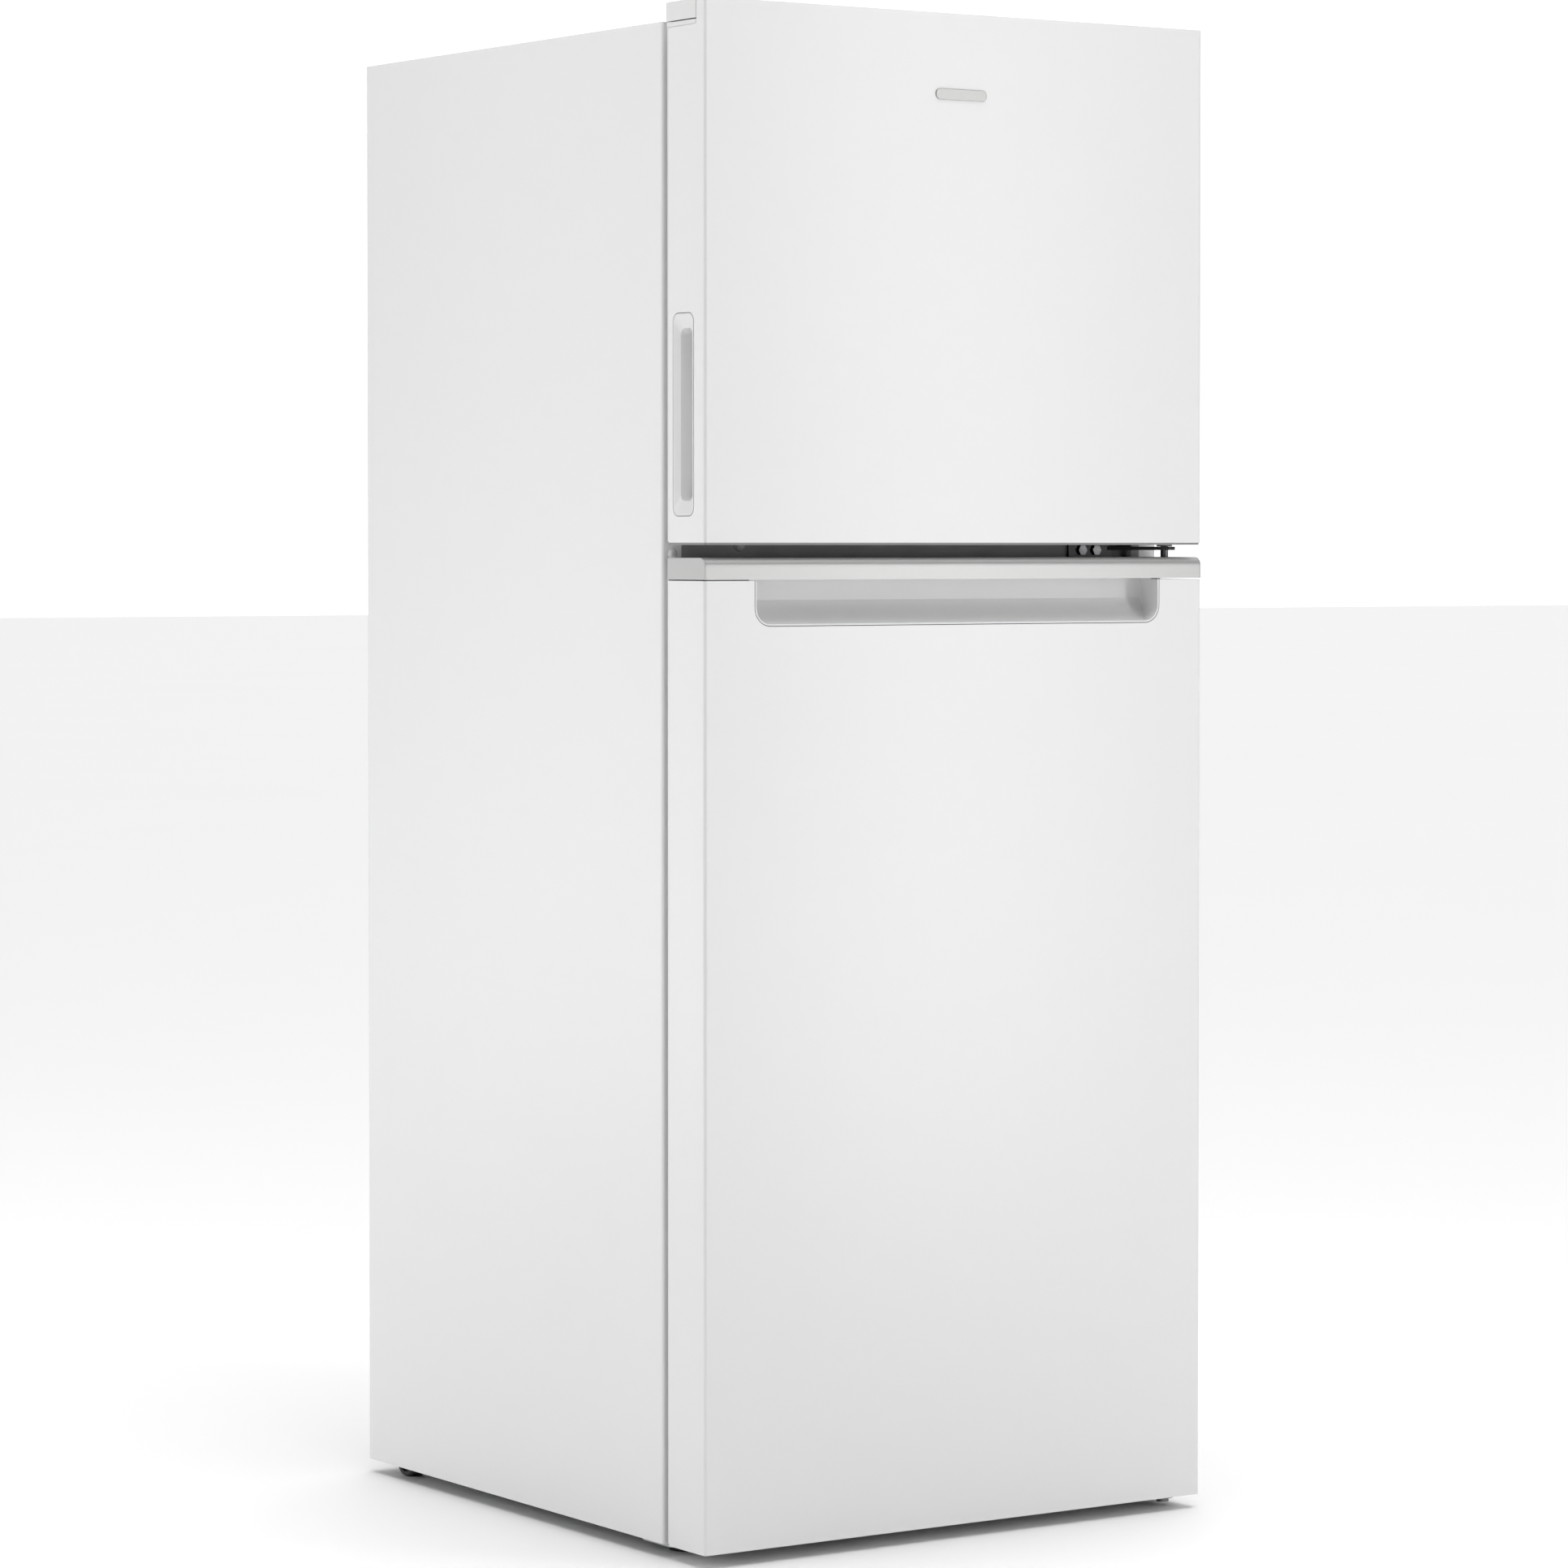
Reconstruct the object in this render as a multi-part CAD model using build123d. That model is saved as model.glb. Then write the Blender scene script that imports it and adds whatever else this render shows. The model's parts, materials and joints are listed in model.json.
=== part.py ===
from build123d import *

import os

# Top-freezer refrigerator, 605 mm wide: cabinet, two right-hung doors, fittings and cooling circuit.
# Millimetres. The origin is under the centre of the bounding box, +Z is up, -Y is the door side, and +X is to
# the right as a person stands in front of the doors. Heights are from the cabinet's datum, FLOOR below which
# nothing reaches, and every node is written with the floor at zero.

# ---------------------------------------------------------------- driving dimensions
WIDTH = 605.0  # cabinet and both doors
DOOR_THICK = 68.0
BADGE = 1.0  # how far the blank badge stands out from the freezer door
SEAL_GAP = 7.5  # door back to cabinet front, filled by the gasket
CABINET_DEPTH = 585.0
SPACER_DEPTH = 25.5  # rear bumpers that keep the back off the wall
FLOOR = 12.0  # the floor, above the datum of all heights here
BASE_Z = 26.0  # underside of side panels and lower door
CABINET_TOP = 1508.0
DOOR_TOP = 1526.0
DOOR_SPLIT = 1003.5  # lower edge of the freezer door's steel skin
TRIM_TOP = 989.0  # top of the silver strip on the lower door
TRIM_BOTTOM = 967.6
SHEET = 0.8  # painted steel
FOLD = 3.0  # outer radius of a folded edge
FLANGE = 22.0  # front return flange of the side panels
LINER = 2.0  # thermoformed cabinet liner
DOOR_LINER = 1.6
AXIS_INSET = 21.0  # hinge line from the right-hand side
AXIS_DEPTH = 34.0  # hinge line behind the door front
PIN_R = 4.0
PIN_PLAY = 0.06
CLEAR = 0.1  # assembly gap between parts that only meet
RECESS_DEPTH = 20.0  # hinge recess in the top of the freezer door
FOOT_R = 18.0
ROLLER_R = 20.0

# ---------------------------------------------------------------- planes worked out from them
HALF = WIDTH / 2
IN = HALF - SHEET - CLEAR
TUCK = HALF - FOLD - CLEAR  # clear of the round inside a folded edge
DOOR_FRONT = BADGE - (BADGE + DOOR_THICK + SEAL_GAP + CABINET_DEPTH + SPACER_DEPTH) / 2
DOOR_BACK = DOOR_FRONT + DOOR_THICK
CAB_FRONT = DOOR_BACK + SEAL_GAP
CAB_BACK = CAB_FRONT + CABINET_DEPTH
SPACER_BACK = CAB_BACK + SPACER_DEPTH
AXIS_X = HALF - AXIS_INSET
AXIS_Y = DOOR_FRONT + AXIS_DEPTH
SKIN_BACK = DOOR_BACK - DOOR_LINER  # the door liner's rim lies behind skin, caps and trim

FZ_HALF, FZ_FLOOR, FZ_CEIL, FZ_BACK = 244.5, 1028.0, 1448.0, 254.0  # freezer cavity
FR_HALF, FR_FLOOR, FR_CEIL, FR_BACK = 260.5, 74.0, 962.0, 268.0  # fridge cavity
STEP_Y, STEP_Z = 130.0, 270.0  # machine compartment: front wall and ceiling
HUMP_Y, HUMP_Z = 90.0, 312.0  # the liner's step over it
RAIL_LOW, RAIL_HIGH = 964.5, 1025.5  # steel rail between the compartments
COVER_Y = 160.0  # front of the evaporator cover
DYKE_BACK = CAB_FRONT + 38.0  # how far the doors' raised rims reach into the cabinet
DYKE_WIDE = 28.0
DYKE_PLAY = 12.0  # rim to cabinet liner
DOOR_FLOOR = DOOR_FRONT + 38.5  # inner face of the door liner between the rims
BIN_BACK = DOOR_FLOOR + 102.0
SHELVES_Z = (312.3, 520.0, 720.0)  # undersides of the fridge shelves, the first over the crisper
SHELF_FRONT, SHELF_BACK = -160.0, 240.0
SHELF_THICK = 14.0
GRIP_LEFT, GRIP_RIGHT = -HALF + 60.0, HALF - 56.0  # handle recess in the lower door
GRIP_LOW, GRIP_TOP, GRIP_DEPTH = 924.5, 981.0, 29.5
LIP = 11.5  # thickness of the silver strip's front lip
SIDE_GRIP_LOW, SIDE_GRIP_HIGH = 1031.0, 1223.0  # grip in the freezer door's left side
SIDE_GRIP_FRONT, SIDE_GRIP_BACK = DOOR_FRONT + 21.0, DOOR_FRONT + 54.0
SIDE_GRIP_DEPTH = 24.0
GRIP_WALL = 1.6  # moulded grips
GRIP_SEAM = 0.7  # visible gap between a grip moulding and the skin round it
FOOT_X, FOOT_Y = 255.0, -237.0
ROLLER_X, ROLLER_Y, ROLLER_Z = 275.0, 270.0, FLOOR + ROLLER_R
COMPRESSOR = (-150.0, 222.0)
EVAP_FAN = (0.0, 208.0, 1362.0)
COND_FAN = (24.0, 222.0, 128.0)
DIAL = (62.0, -200.0, 946.0)
HINGE_SCREW_X = (228.0, 250.0, 272.0)  # top bracket, and mirrored plugged holes


# ---------------------------------------------------------------- helpers
def block(x0, x1, y0, y1, z0, z1):
    """Box between two opposite corners."""
    size = Box(x1 - x0, y1 - y0, z1 - z0)
    return Pos((x0 + x1) / 2, (y0 + y1) / 2, (z0 + z1) / 2) * size


def rounded(x0, x1, y0, y1, z0, z1, radius, axis):
    """Box whose four edges along axis are rounded."""
    body = block(x0, x1, y0, y1, z0, z1)
    return fillet(body.edges().filter_by(axis), radius)


def post(x, y, z0, z1, radius):
    """Upright cylinder."""
    return Pos(x, y, (z0 + z1) / 2) * Cylinder(radius, z1 - z0)


def rod_y(x, z, y0, y1, radius):
    """Cylinder along Y."""
    return Pos(x, (y0 + y1) / 2, z) * Rot(90, 0, 0) * Cylinder(radius, y1 - y0)


def rod_x(y, z, x0, x1, radius):
    """Cylinder along X."""
    return Pos((x0 + x1) / 2, y, z) * Rot(0, 90, 0) * Cylinder(radius, x1 - x0)


def plate(points, z0, z1):
    """Flat plate with the given plan outline."""
    outline = make_face(Polyline(*points, close=True))
    return Pos(0, 0, z0) * extrude(outline, z1 - z0)


def mirrored(body):
    """The same body on the other side of the centre plane."""
    return mirror(body, Plane.YZ)


def tray(x0, x1, y0, y1, z0, z1, wall, radius):
    """Open-topped moulded tray with rounded upright corners."""
    outer = rounded(x0, x1, y0, y1, z0, z1, radius, Axis.Z)
    inner = rounded(x0 + wall, x1 - wall, y0 + wall, y1 - wall, z0 + wall, z1 + 1, radius - wall, Axis.Z)
    return outer - inner


def write(name, *shapes):
    """One STEP file for one named node."""
    bodies = [solid for shape in shapes for solid in shape.solids()]
    bodies = [Pos(0, 0, -FLOOR) * body for body in bodies]
    whole = bodies[0] if len(bodies) == 1 else Compound(children=bodies)
    export_step(whole, f"parts/{name}.step")


# ---------------------------------------------------------------- cabinet sheet metal
def side_panel():
    """Right-hand side: one sheet folded round the front and rear edges."""
    top = CABINET_TOP - SHEET
    outer = block(HALF - FLANGE, HALF, CAB_FRONT, CAB_BACK, BASE_Z, top)
    outer = fillet(outer.edges().filter_by(Axis.Z).group_by(Axis.X)[-1], FOLD)
    inner = block(HALF - FLANGE - 1, HALF - SHEET, CAB_FRONT + SHEET, CAB_BACK - SHEET, BASE_Z - 1, top + 1)
    inner = fillet(inner.edges().filter_by(Axis.Z).group_by(Axis.X)[-1], FOLD - SHEET)
    rear_return = 15.0
    trim = block(HALF - FLANGE - 1, HALF - rear_return, CAB_BACK - 2, CAB_BACK + 1, BASE_Z - 1, top + 1)
    return outer - inner - trim


def top_panel():
    """Top sheet with front and rear lips that turn down between the side panels."""
    low = CABINET_TOP - SHEET
    sheet = rounded(-HALF, HALF, CAB_FRONT, CAB_BACK, low, CABINET_TOP, FOLD, Axis.Z)
    reach = HALF - FLANGE - CLEAR
    front = block(-reach, reach, CAB_FRONT, CAB_FRONT + SHEET, CABINET_TOP - FLANGE, CABINET_TOP)
    rear = block(-reach, reach, CAB_BACK - SHEET, CAB_BACK, CABINET_TOP - 15, CABINET_TOP)
    body = sheet + front + rear
    for x in HINGE_SCREW_X:  # hinge screw holes on either side
        for side in (1, -1):
            body -= post(side * x, CAB_FRONT + 52, low - 1, CABINET_TOP + 1, 2.6)
    return body


def back_panel():
    """Flat rear sheet with two pressed stiffening beads."""
    y1 = CAB_BACK - SHEET - CLEAR
    sheet = block(-TUCK, TUCK, y1 - SHEET, y1, STEP_Z + CLEAR, CABINET_TOP - SHEET - CLEAR)
    for z in (620.0, 1120.0):
        bead = rounded(-220, 220, y1, y1 + 3, z - 9, z + 9, 8.9, Axis.Y)
        sheet += bead
    return sheet


def base_pan():
    """Bottom sheet: floor, wall and ceiling of the machine compartment, front rail and left foot plate."""
    t = 1.0
    front_y = CAB_FRONT + t
    back_y = CAB_BACK - SHEET - CLEAR
    floor = block(-TUCK, TUCK, front_y, STEP_Y, BASE_Z, BASE_Z + t)
    wall = block(-IN, IN, STEP_Y - t, STEP_Y, BASE_Z, STEP_Z)
    ceiling = block(-TUCK, TUCK, STEP_Y - t, back_y, STEP_Z - t, STEP_Z)
    reach = HALF - FLANGE - CLEAR
    rail = block(-reach, reach, CAB_FRONT, front_y, BASE_Z, FR_FLOOR - LINER - CLEAR)
    foot_plate = rounded(-FOOT_X - 34, -FOOT_X + 34, FOOT_Y - 26, FOOT_Y + 34, 20, BASE_Z, 8, Axis.Z)
    body = floor + wall + ceiling + rail + foot_plate
    return body - post(-FOOT_X, FOOT_Y, 0, 40, 5.1) - post(FOOT_X, FOOT_Y, 0, 40, 5.6)


def center_rail():
    """Steel channel across the front between freezer and fridge."""
    reach = HALF - FLANGE - CLEAR
    deep = CAB_FRONT + 16
    body = block(-reach, reach, CAB_FRONT, deep, RAIL_LOW, RAIL_HIGH)
    body -= block(-reach - 1, reach + 1, CAB_FRONT + 1, deep + 1, RAIL_LOW + 1, RAIL_HIGH - 1)
    for x in (204.0, 222.0):
        body -= rod_y(x, 996, CAB_FRONT - 1, CAB_FRONT + 2, 2.6)
    return body


def liner_box(half, y1, z0, z1, radius, grow):
    """Cavity volume with rounded corners, grown by the liner's thickness or not at all."""
    body = block(-half - grow, half + grow, CAB_FRONT, y1 + grow, z0 - grow, z1 + grow)
    return fillet(body.edges().filter_by(Axis.Y), radius + grow)


def freezer_liner():
    """Thermoformed tub with a flat front rim."""
    reach = HALF - FLANGE - CLEAR
    rim = block(-reach, reach, CAB_FRONT, CAB_FRONT + LINER, RAIL_HIGH + CLEAR, CABINET_TOP - FLANGE - CLEAR)
    outer = liner_box(FZ_HALF, FZ_BACK, FZ_FLOOR, FZ_CEIL, 16, LINER)
    body = outer + rim - liner_box(FZ_HALF, FZ_BACK, FZ_FLOOR, FZ_CEIL, 16, 0)
    for side in (1, -1):  # ledges under the wire shelf
        low, high = sorted((side * (FZ_HALF - 7), side * (FZ_HALF + 0.5)))
        body += block(low, high, -180, 150, 1222, 1232)
    return body


def fridge_liner():
    """Thermoformed tub, stepped over the machine compartment, with shelf ledges and drawer runners."""
    reach = HALF - FLANGE - CLEAR
    rim = block(-reach, reach, CAB_FRONT, CAB_FRONT + LINER, FR_FLOOR - LINER, RAIL_LOW - CLEAR)
    outer = liner_box(FR_HALF, FR_BACK, FR_FLOOR, FR_CEIL, 16, LINER)
    outer -= block(-HALF, HALF, HUMP_Y + LINER, CAB_BACK, 0, HUMP_Z - LINER)
    inner = liner_box(FR_HALF, FR_BACK, FR_FLOOR, FR_CEIL, 16, 0)
    inner -= block(-HALF, HALF, HUMP_Y, CAB_BACK, 0, HUMP_Z)
    body = outer + rim - inner
    for z in SHELVES_Z:
        ledge_back = HUMP_Y if z < HUMP_Z + 10 else SHELF_BACK
        for side in (1, -1):
            low, high = sorted((side * (FR_HALF - 9), side * (FR_HALF + 0.5)))
            body += block(low, high, SHELF_FRONT + 6, ledge_back, z - 10, z - 0.2)
    for x in (-180.0, 180.0):
        body += block(x - 6, x + 6, -118, HUMP_Y, FR_FLOOR - 0.5, 83.6)
    return body


def cabinet_foam():
    """Rigid foam between sheet metal and liners, as slabs that meet face to face."""
    y0 = CAB_FRONT + LINER + CLEAR
    y1 = CAB_BACK - 2 * SHEET - 2 * CLEAR
    fz, fr = FZ_HALF + LINER + CLEAR, FR_HALF + LINER + CLEAR
    low, high = BASE_Z + 1 + CLEAR, CABINET_TOP - SHEET - CLEAR
    mull_low, mull_high = FR_CEIL + LINER + CLEAR, FZ_FLOOR - LINER - CLEAR
    ceiling = FZ_CEIL + LINER + CLEAR
    step_y, step_z = STEP_Y - 1 - CLEAR, STEP_Z + CLEAR
    hump_y, hump_z = HUMP_Y + LINER + CLEAR, HUMP_Z - LINER - CLEAR
    slabs = [
        block(-TUCK, TUCK, y0, y1, ceiling, high),
        block(-TUCK, TUCK, CAB_FRONT + 16 + CLEAR, y1, mull_low, mull_high),
        block(-fz, fz, FZ_BACK + LINER + CLEAR, y1, mull_high, ceiling),
        block(-fr, fr, FR_BACK + LINER + CLEAR, y1, hump_z, mull_low),
        block(-fr, fr, hump_y, y1, step_z, hump_z),
        block(-fr, fr, hump_y, step_y, low, step_z),
        block(-fr, fr, y0, hump_y, low, FR_FLOOR - LINER - CLEAR),
    ]
    for side in (1, -1):
        for inner, floor, roof, back in (
            (fz, mull_high, ceiling, y1),
            (fr, step_z, mull_low, y1),
            (fr, low, step_z, step_y),
        ):
            x0, x1 = sorted((side * inner, side * TUCK))
            slabs.append(block(x0, x1, y0, back, floor, roof))
    for x in HINGE_SCREW_X:
        slabs[0] -= post(x, CAB_FRONT + 52, high - 12, high + 1, 2.7)
    return slabs


def dome(x, y, z, radius, rise, direction):
    """Round-headed plug cap."""
    cap = Sphere(radius) & block(-radius, radius, -radius, radius, 0, radius)
    cap = scale(cap, (1, 1, rise / radius))
    turn = {"-Y": Rot(90, 0, 0), "+Z": Rot(0, 0, 0), "-Z": Rot(180, 0, 0)}[direction]
    return Pos(x, y, z) * turn * cap


def screw_hole_plugs():
    """Caps for the holes that a left-hand hinge would use: one in the front flange, three on top."""
    plugs = [dome(-HALF + 11.5, CAB_FRONT, 993, 5.2, 4.6, "-Y")]
    plugs += [dome(-x, CAB_FRONT + 52, CABINET_TOP, 5, 2.2, "+Z") for x in HINGE_SCREW_X]
    return plugs


# ---------------------------------------------------------------- hinges
def top_hinge_bracket():
    """Steel plate on the cabinet top with an arm over the freezer door."""
    arm = [
        (215, CAB_FRONT + 80), (288.8, CAB_FRONT + 80), (288.8, AXIS_Y),
        (272, AXIS_Y), (264, CAB_FRONT - 24), (215, CAB_FRONT + 14),
    ]
    high = CABINET_TOP + 3.5
    body = plate(arm, CABINET_TOP, high) + post(AXIS_X, AXIS_Y, CABINET_TOP, high, 8.7)
    for x in HINGE_SCREW_X:
        body -= post(x, CAB_FRONT + 52, CABINET_TOP - 1, CABINET_TOP + 5, 3.1)
    return body - post(AXIS_X, AXIS_Y, CABINET_TOP - 1, CABINET_TOP + 5, PIN_R + 0.02)


def top_hinge_cover():
    """Moulded cap over the top hinge, flush with the top of the freezer door."""
    def form(inset):
        outline = [
            (208 + inset, CAB_FRONT + 88 - inset), (291.5 - inset, CAB_FRONT + 88 - inset),
            (291.5 - inset, AXIS_Y), (269 + inset, AXIS_Y), (255 + inset, CAB_FRONT - 20),
            (208 + inset, CAB_FRONT + 8),
        ]
        low = CABINET_TOP + 0.2 if inset == 0 else CABINET_TOP - 1
        body = plate(outline, low, DOOR_TOP - inset)
        return body + post(AXIS_X, AXIS_Y, low, DOOR_TOP - inset, 12.2 - inset)

    return form(0) - form(2)


def center_hinge_bracket():
    """Angle screwed to the rail, with an arm between the doors."""
    flange = rounded(188, 268, CAB_FRONT - 3, CAB_FRONT - 0.05, 985.5, 1006.5, 4, Axis.Y)
    outline = [(236, CAB_FRONT - 2), (267, CAB_FRONT - 2), (291, AXIS_Y + 4), (273, AXIS_Y - 7)]
    arm = plate(outline, 996, 999.5)
    body = flange + arm + post(AXIS_X, AXIS_Y, 996, 999.5, 11)
    for x in (204.0, 222.0):
        body -= rod_y(x, 996, CAB_FRONT - 4, CAB_FRONT + 1, 3.1)
    return body - post(AXIS_X, AXIS_Y, 995, 1001, PIN_R + 0.02)


def bottom_hinge_bracket():
    """Plate under the right front corner that carries the lower pin and a levelling foot."""
    outline = [(214, -190), (296, -190), (296, -262), (291, AXIS_Y + 4), (272, AXIS_Y - 6), (214, -262)]
    body = plate(outline, 20, 23.5) + post(AXIS_X, AXIS_Y, 20, 23.5, 11)
    body += block(216, 294, -262, -192, 23.5, BASE_Z - 0.05)
    body -= post(FOOT_X, FOOT_Y, 15, 30, 5.1)
    return body - post(AXIS_X, AXIS_Y, 15, 30, PIN_R + 0.02)


def hinge_pins():
    """Top, middle and bottom pins on one line."""
    top = post(AXIS_X, AXIS_Y, 1492, CABINET_TOP + 4.5, PIN_R) + post(
        AXIS_X, AXIS_Y, CABINET_TOP + 3.6, CABINET_TOP + 6, 6.5
    )
    middle = post(AXIS_X, AXIS_Y, 971.5, 1018, PIN_R)
    bottom = post(AXIS_X, AXIS_Y, 17.5, 41, PIN_R) + post(AXIS_X, AXIS_Y, 16, 19.9, 6.5)
    return top, middle, bottom


def hex_screw(length):
    """Hexagon-head screw pointing down from the origin."""
    head = extrude(RegularPolygon(5.5, 6), 3.2)
    return head + Pos(0, 0, -length / 2) * Cylinder(2.5, length)


def hinge_screws():
    """Three in the top bracket, two in the middle one."""
    top = [Pos(x, CAB_FRONT + 52, CABINET_TOP + 3.55) * hex_screw(8) for x in HINGE_SCREW_X]
    middle = [Pos(x, CAB_FRONT - 3.05, 996) * Rot(90, 0, 0) * hex_screw(8) for x in (204.0, 222.0)]
    return top + middle


# ---------------------------------------------------------------- doors
def door_skin(low, high):
    """Steel sheet folded round the front, both sides and a short way across the back."""
    outer = rounded(-HALF, HALF, DOOR_FRONT, SKIN_BACK, low, high, FOLD, Axis.Z)
    x, y0, y1 = HALF - SHEET, DOOR_FRONT + SHEET, SKIN_BACK - SHEET
    inner = rounded(-x, x, y0, y1, low - 1, high + 1, FOLD - SHEET, Axis.Z)
    back_return = 14.0
    reach = HALF - back_return
    return outer - inner - block(-reach, reach, SKIN_BACK - 2, SKIN_BACK + 1, low - 1, high + 1)


def notch(side, z0, depth):
    """Cut-out in a side of the freezer skin for the end cap, with one rounded corner."""
    x0, x1 = sorted((side * (HALF - 15), side * (HALF + 1)))
    cut = block(x0, x1, DOOR_FRONT + depth, DOOR_BACK + 5, z0, DOOR_TOP + 1)
    return round_low_front(cut, 4)


def round_low_front(body, radius):
    """The body with its lower front edge, which runs across the door, rounded."""
    corner = body.edges().filter_by(Axis.X).sort_by(lambda e: e.center().Y + e.center().Z)[0]
    return fillet(corner, radius)


def side_grip_outline(grow, depth=0.0, narrow=0.0, shorten=0.0):
    """Rounded outline of the side grip at a depth into the door, as a face that looks into it."""
    wide = SIDE_GRIP_BACK - SIDE_GRIP_FRONT + 2 * (grow - narrow)
    tall = SIDE_GRIP_HIGH - SIDE_GRIP_LOW + 2 * (grow - shorten)
    mid_y, mid_z = (SIDE_GRIP_FRONT + SIDE_GRIP_BACK) / 2, (SIDE_GRIP_LOW + SIDE_GRIP_HIGH) / 2
    plane = Plane(origin=(-HALF + depth, mid_y, mid_z), x_dir=(0, 1, 0), z_dir=(1, 0, 0))
    return plane * RectangleRounded(wide, tall, 7 + grow)


def side_grip_void(grow):
    """Finger recess in the left side of the freezer door: dished rim, then a tapered well."""
    dish, rim_sides, rim_ends = 4.0 + grow, 6.0, 12.5
    mouth = side_grip_outline(grow)
    well = side_grip_outline(grow, dish, rim_sides, rim_ends)
    body = loft([mouth.face(), well.face()]) + extrude(well, SIDE_GRIP_DEPTH + grow - dish, taper=6)
    return body + extrude(mouth, -2)


def freezer_door_skin():
    """Skin with the top corners notched and the grip cut out of its left side."""
    cap_notch = 14.0
    body = door_skin(DOOR_SPLIT, DOOR_TOP)
    for side in (1, -1):
        body -= notch(side, DOOR_TOP - RECESS_DEPTH - 5, cap_notch)
    return body - extrude(side_grip_outline(GRIP_WALL + GRIP_SEAM), 2, both=True)


def badge():
    """Blank capsule-shaped badge with a softened front edge."""
    x, z = 0.0, 1446.0
    body = rounded(x - 31, x + 31, DOOR_FRONT - BADGE, DOOR_FRONT, z - 5.5, z + 5.5, 5.4, Axis.Y)
    return fillet(body.edges().group_by(Axis.Y)[0], 0.4)


def freezer_handle_pocket():
    """Moulded liner of the side grip."""
    shell = side_grip_void(GRIP_WALL) - side_grip_void(0)
    return shell & block(-HALF, 0, DOOR_FRONT - 50, 0, SIDE_GRIP_LOW - 50, SIDE_GRIP_HIGH + 50)


def hinge_recess(side, play):
    """Space in the top corner of the freezer door that clears the hinge as the door swings."""
    x0, x1 = sorted((side * (HALF - 80 - play), side * (HALF + 5)))
    body = block(x0, x1, DOOR_FRONT + 14.5 - play, DOOR_BACK + 5, DOOR_TOP - RECESS_DEPTH, DOOR_TOP + 1)
    if side > 0:
        body += block(AXIS_X - 15, HALF + 5, AXIS_Y - 28, AXIS_Y, DOOR_TOP - RECESS_DEPTH, DOOR_TOP + 1)
    return body


def cap_shell(low, high, wall):
    """Closed plate at one end of a door with a skirt inside the skin."""
    gap = SHEET + 0.15
    x, y0, y1 = HALF - gap, DOOR_FRONT + gap, SKIN_BACK - gap
    outer = rounded(-x, x, y0, y1, low, high, FOLD - gap, Axis.Z)
    return outer, block(-x + wall, x - wall, y0 + wall, y1 - wall, low - 1, high + 1)


def freezer_door_top_cap():
    """End cap whose corners drop to the hinge recesses; the left one is plugged by its own cover."""
    wall, floor = 2.5, 3.0
    low = DOOR_TOP - 36
    outer, core = cap_shell(low, DOOR_TOP, wall)
    flat = DOOR_TOP - RECESS_DEPTH
    body = outer - (core & block(-HALF, HALF, DOOR_FRONT, DOOR_BACK, low - 1, DOOR_TOP - floor))
    for side in (1, -1):
        x0, x1 = sorted((side * (HALF - 80 - wall), side * (HALF - 1.1)))
        corner = block(x0, x1, DOOR_FRONT + 4, SKIN_BACK - 1, flat - floor, DOOR_TOP)
        sides = sorted((side * (HALF - 3.5), side * HALF))
        ear = round_low_front(block(*sides, DOOR_FRONT + 14.7, SKIN_BACK, flat - 4.3, flat), 3.3)
        body = body + corner + ear - hinge_recess(side, 0)
    body += post(AXIS_X, AXIS_Y, low, flat, 9)
    return body - post(AXIS_X, AXIS_Y, low - 1, DOOR_TOP, PIN_R + PIN_PLAY)


def hinge_recess_cover():
    """Lid that fills the unused recess on the left of the freezer door."""
    flat = DOOR_TOP - RECESS_DEPTH + 1.2
    x0, x1 = -HALF, -HALF + 79.5
    outer = block(x0, x1, DOOR_FRONT + 15, DOOR_BACK, flat, DOOR_TOP)
    outer = fillet(outer.edges().filter_by(Axis.Y).sort_by(lambda e: -e.center().Z + e.center().X)[0], 1.5)
    return outer - block(x0 + 2, x1 - 2, DOOR_FRONT + 17, DOOR_BACK - 2, flat - 1, DOOR_TOP - 2)


def freezer_door_bottom_cap():
    """End cap under the freezer door, standing 2 mm proud, with bearing collar and hole plug."""
    lip = DOOR_SPLIT - 2.2
    outer, core = cap_shell(DOOR_SPLIT - 0.9, DOOR_SPLIT + 16, 2.5)
    foot = rounded(-HALF + 1.2, HALF - 1.2, DOOR_FRONT + 1.2, SKIN_BACK, lip, DOOR_SPLIT - 0.8, 2, Axis.Z)
    body = outer - (core & block(-HALF, HALF, DOOR_FRONT, DOOR_BACK, DOOR_SPLIT + 2, DOOR_SPLIT + 20)) + foot
    body += post(AXIS_X, AXIS_Y, 999.7, DOOR_SPLIT + 16, 8)
    body += dome(-HALF + 62, AXIS_Y, lip + 0.2, 5.6, 7.0, "-Z")
    return body - post(AXIS_X, AXIS_Y, 990, DOOR_SPLIT + 20, PIN_R + PIN_PLAY)


def door_liner(half, low, high, z0, z1):
    """Inner door panel: flat rim under the gasket, raised ring that holds the bins, sunk centre."""
    t, w = DOOR_LINER, DYKE_WIDE
    flat = block(-HALF + 1.5, HALF - 1.5, SKIN_BACK + 0.02, DOOR_BACK, low, high)
    hollow = block(-half + w, half - w, DOOR_FLOOR, DYKE_BACK + 1, z0 + w, z1 - w)
    tub = block(-half + w - t, half - w + t, DOOR_FLOOR - t, DYKE_BACK, z0 + w - t, z1 - w + t)
    ring = block(-half, half, SKIN_BACK, DYKE_BACK, z0, z1)
    ring = fillet(ring.edges().filter_by(Axis.Y), 10)
    inside = block(-half + t, half - t, SKIN_BACK - 1, DYKE_BACK - t, z0 + t, z1 - t)
    inside = fillet(inside.edges().filter_by(Axis.Y), 10 - t)
    body = (flat + ring - inside) + tub - hollow
    back_edges = body.edges().filter_by(lambda e: abs(e.center().Y - DYKE_BACK) < 0.01)
    return fillet(back_edges, 1.2)


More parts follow.
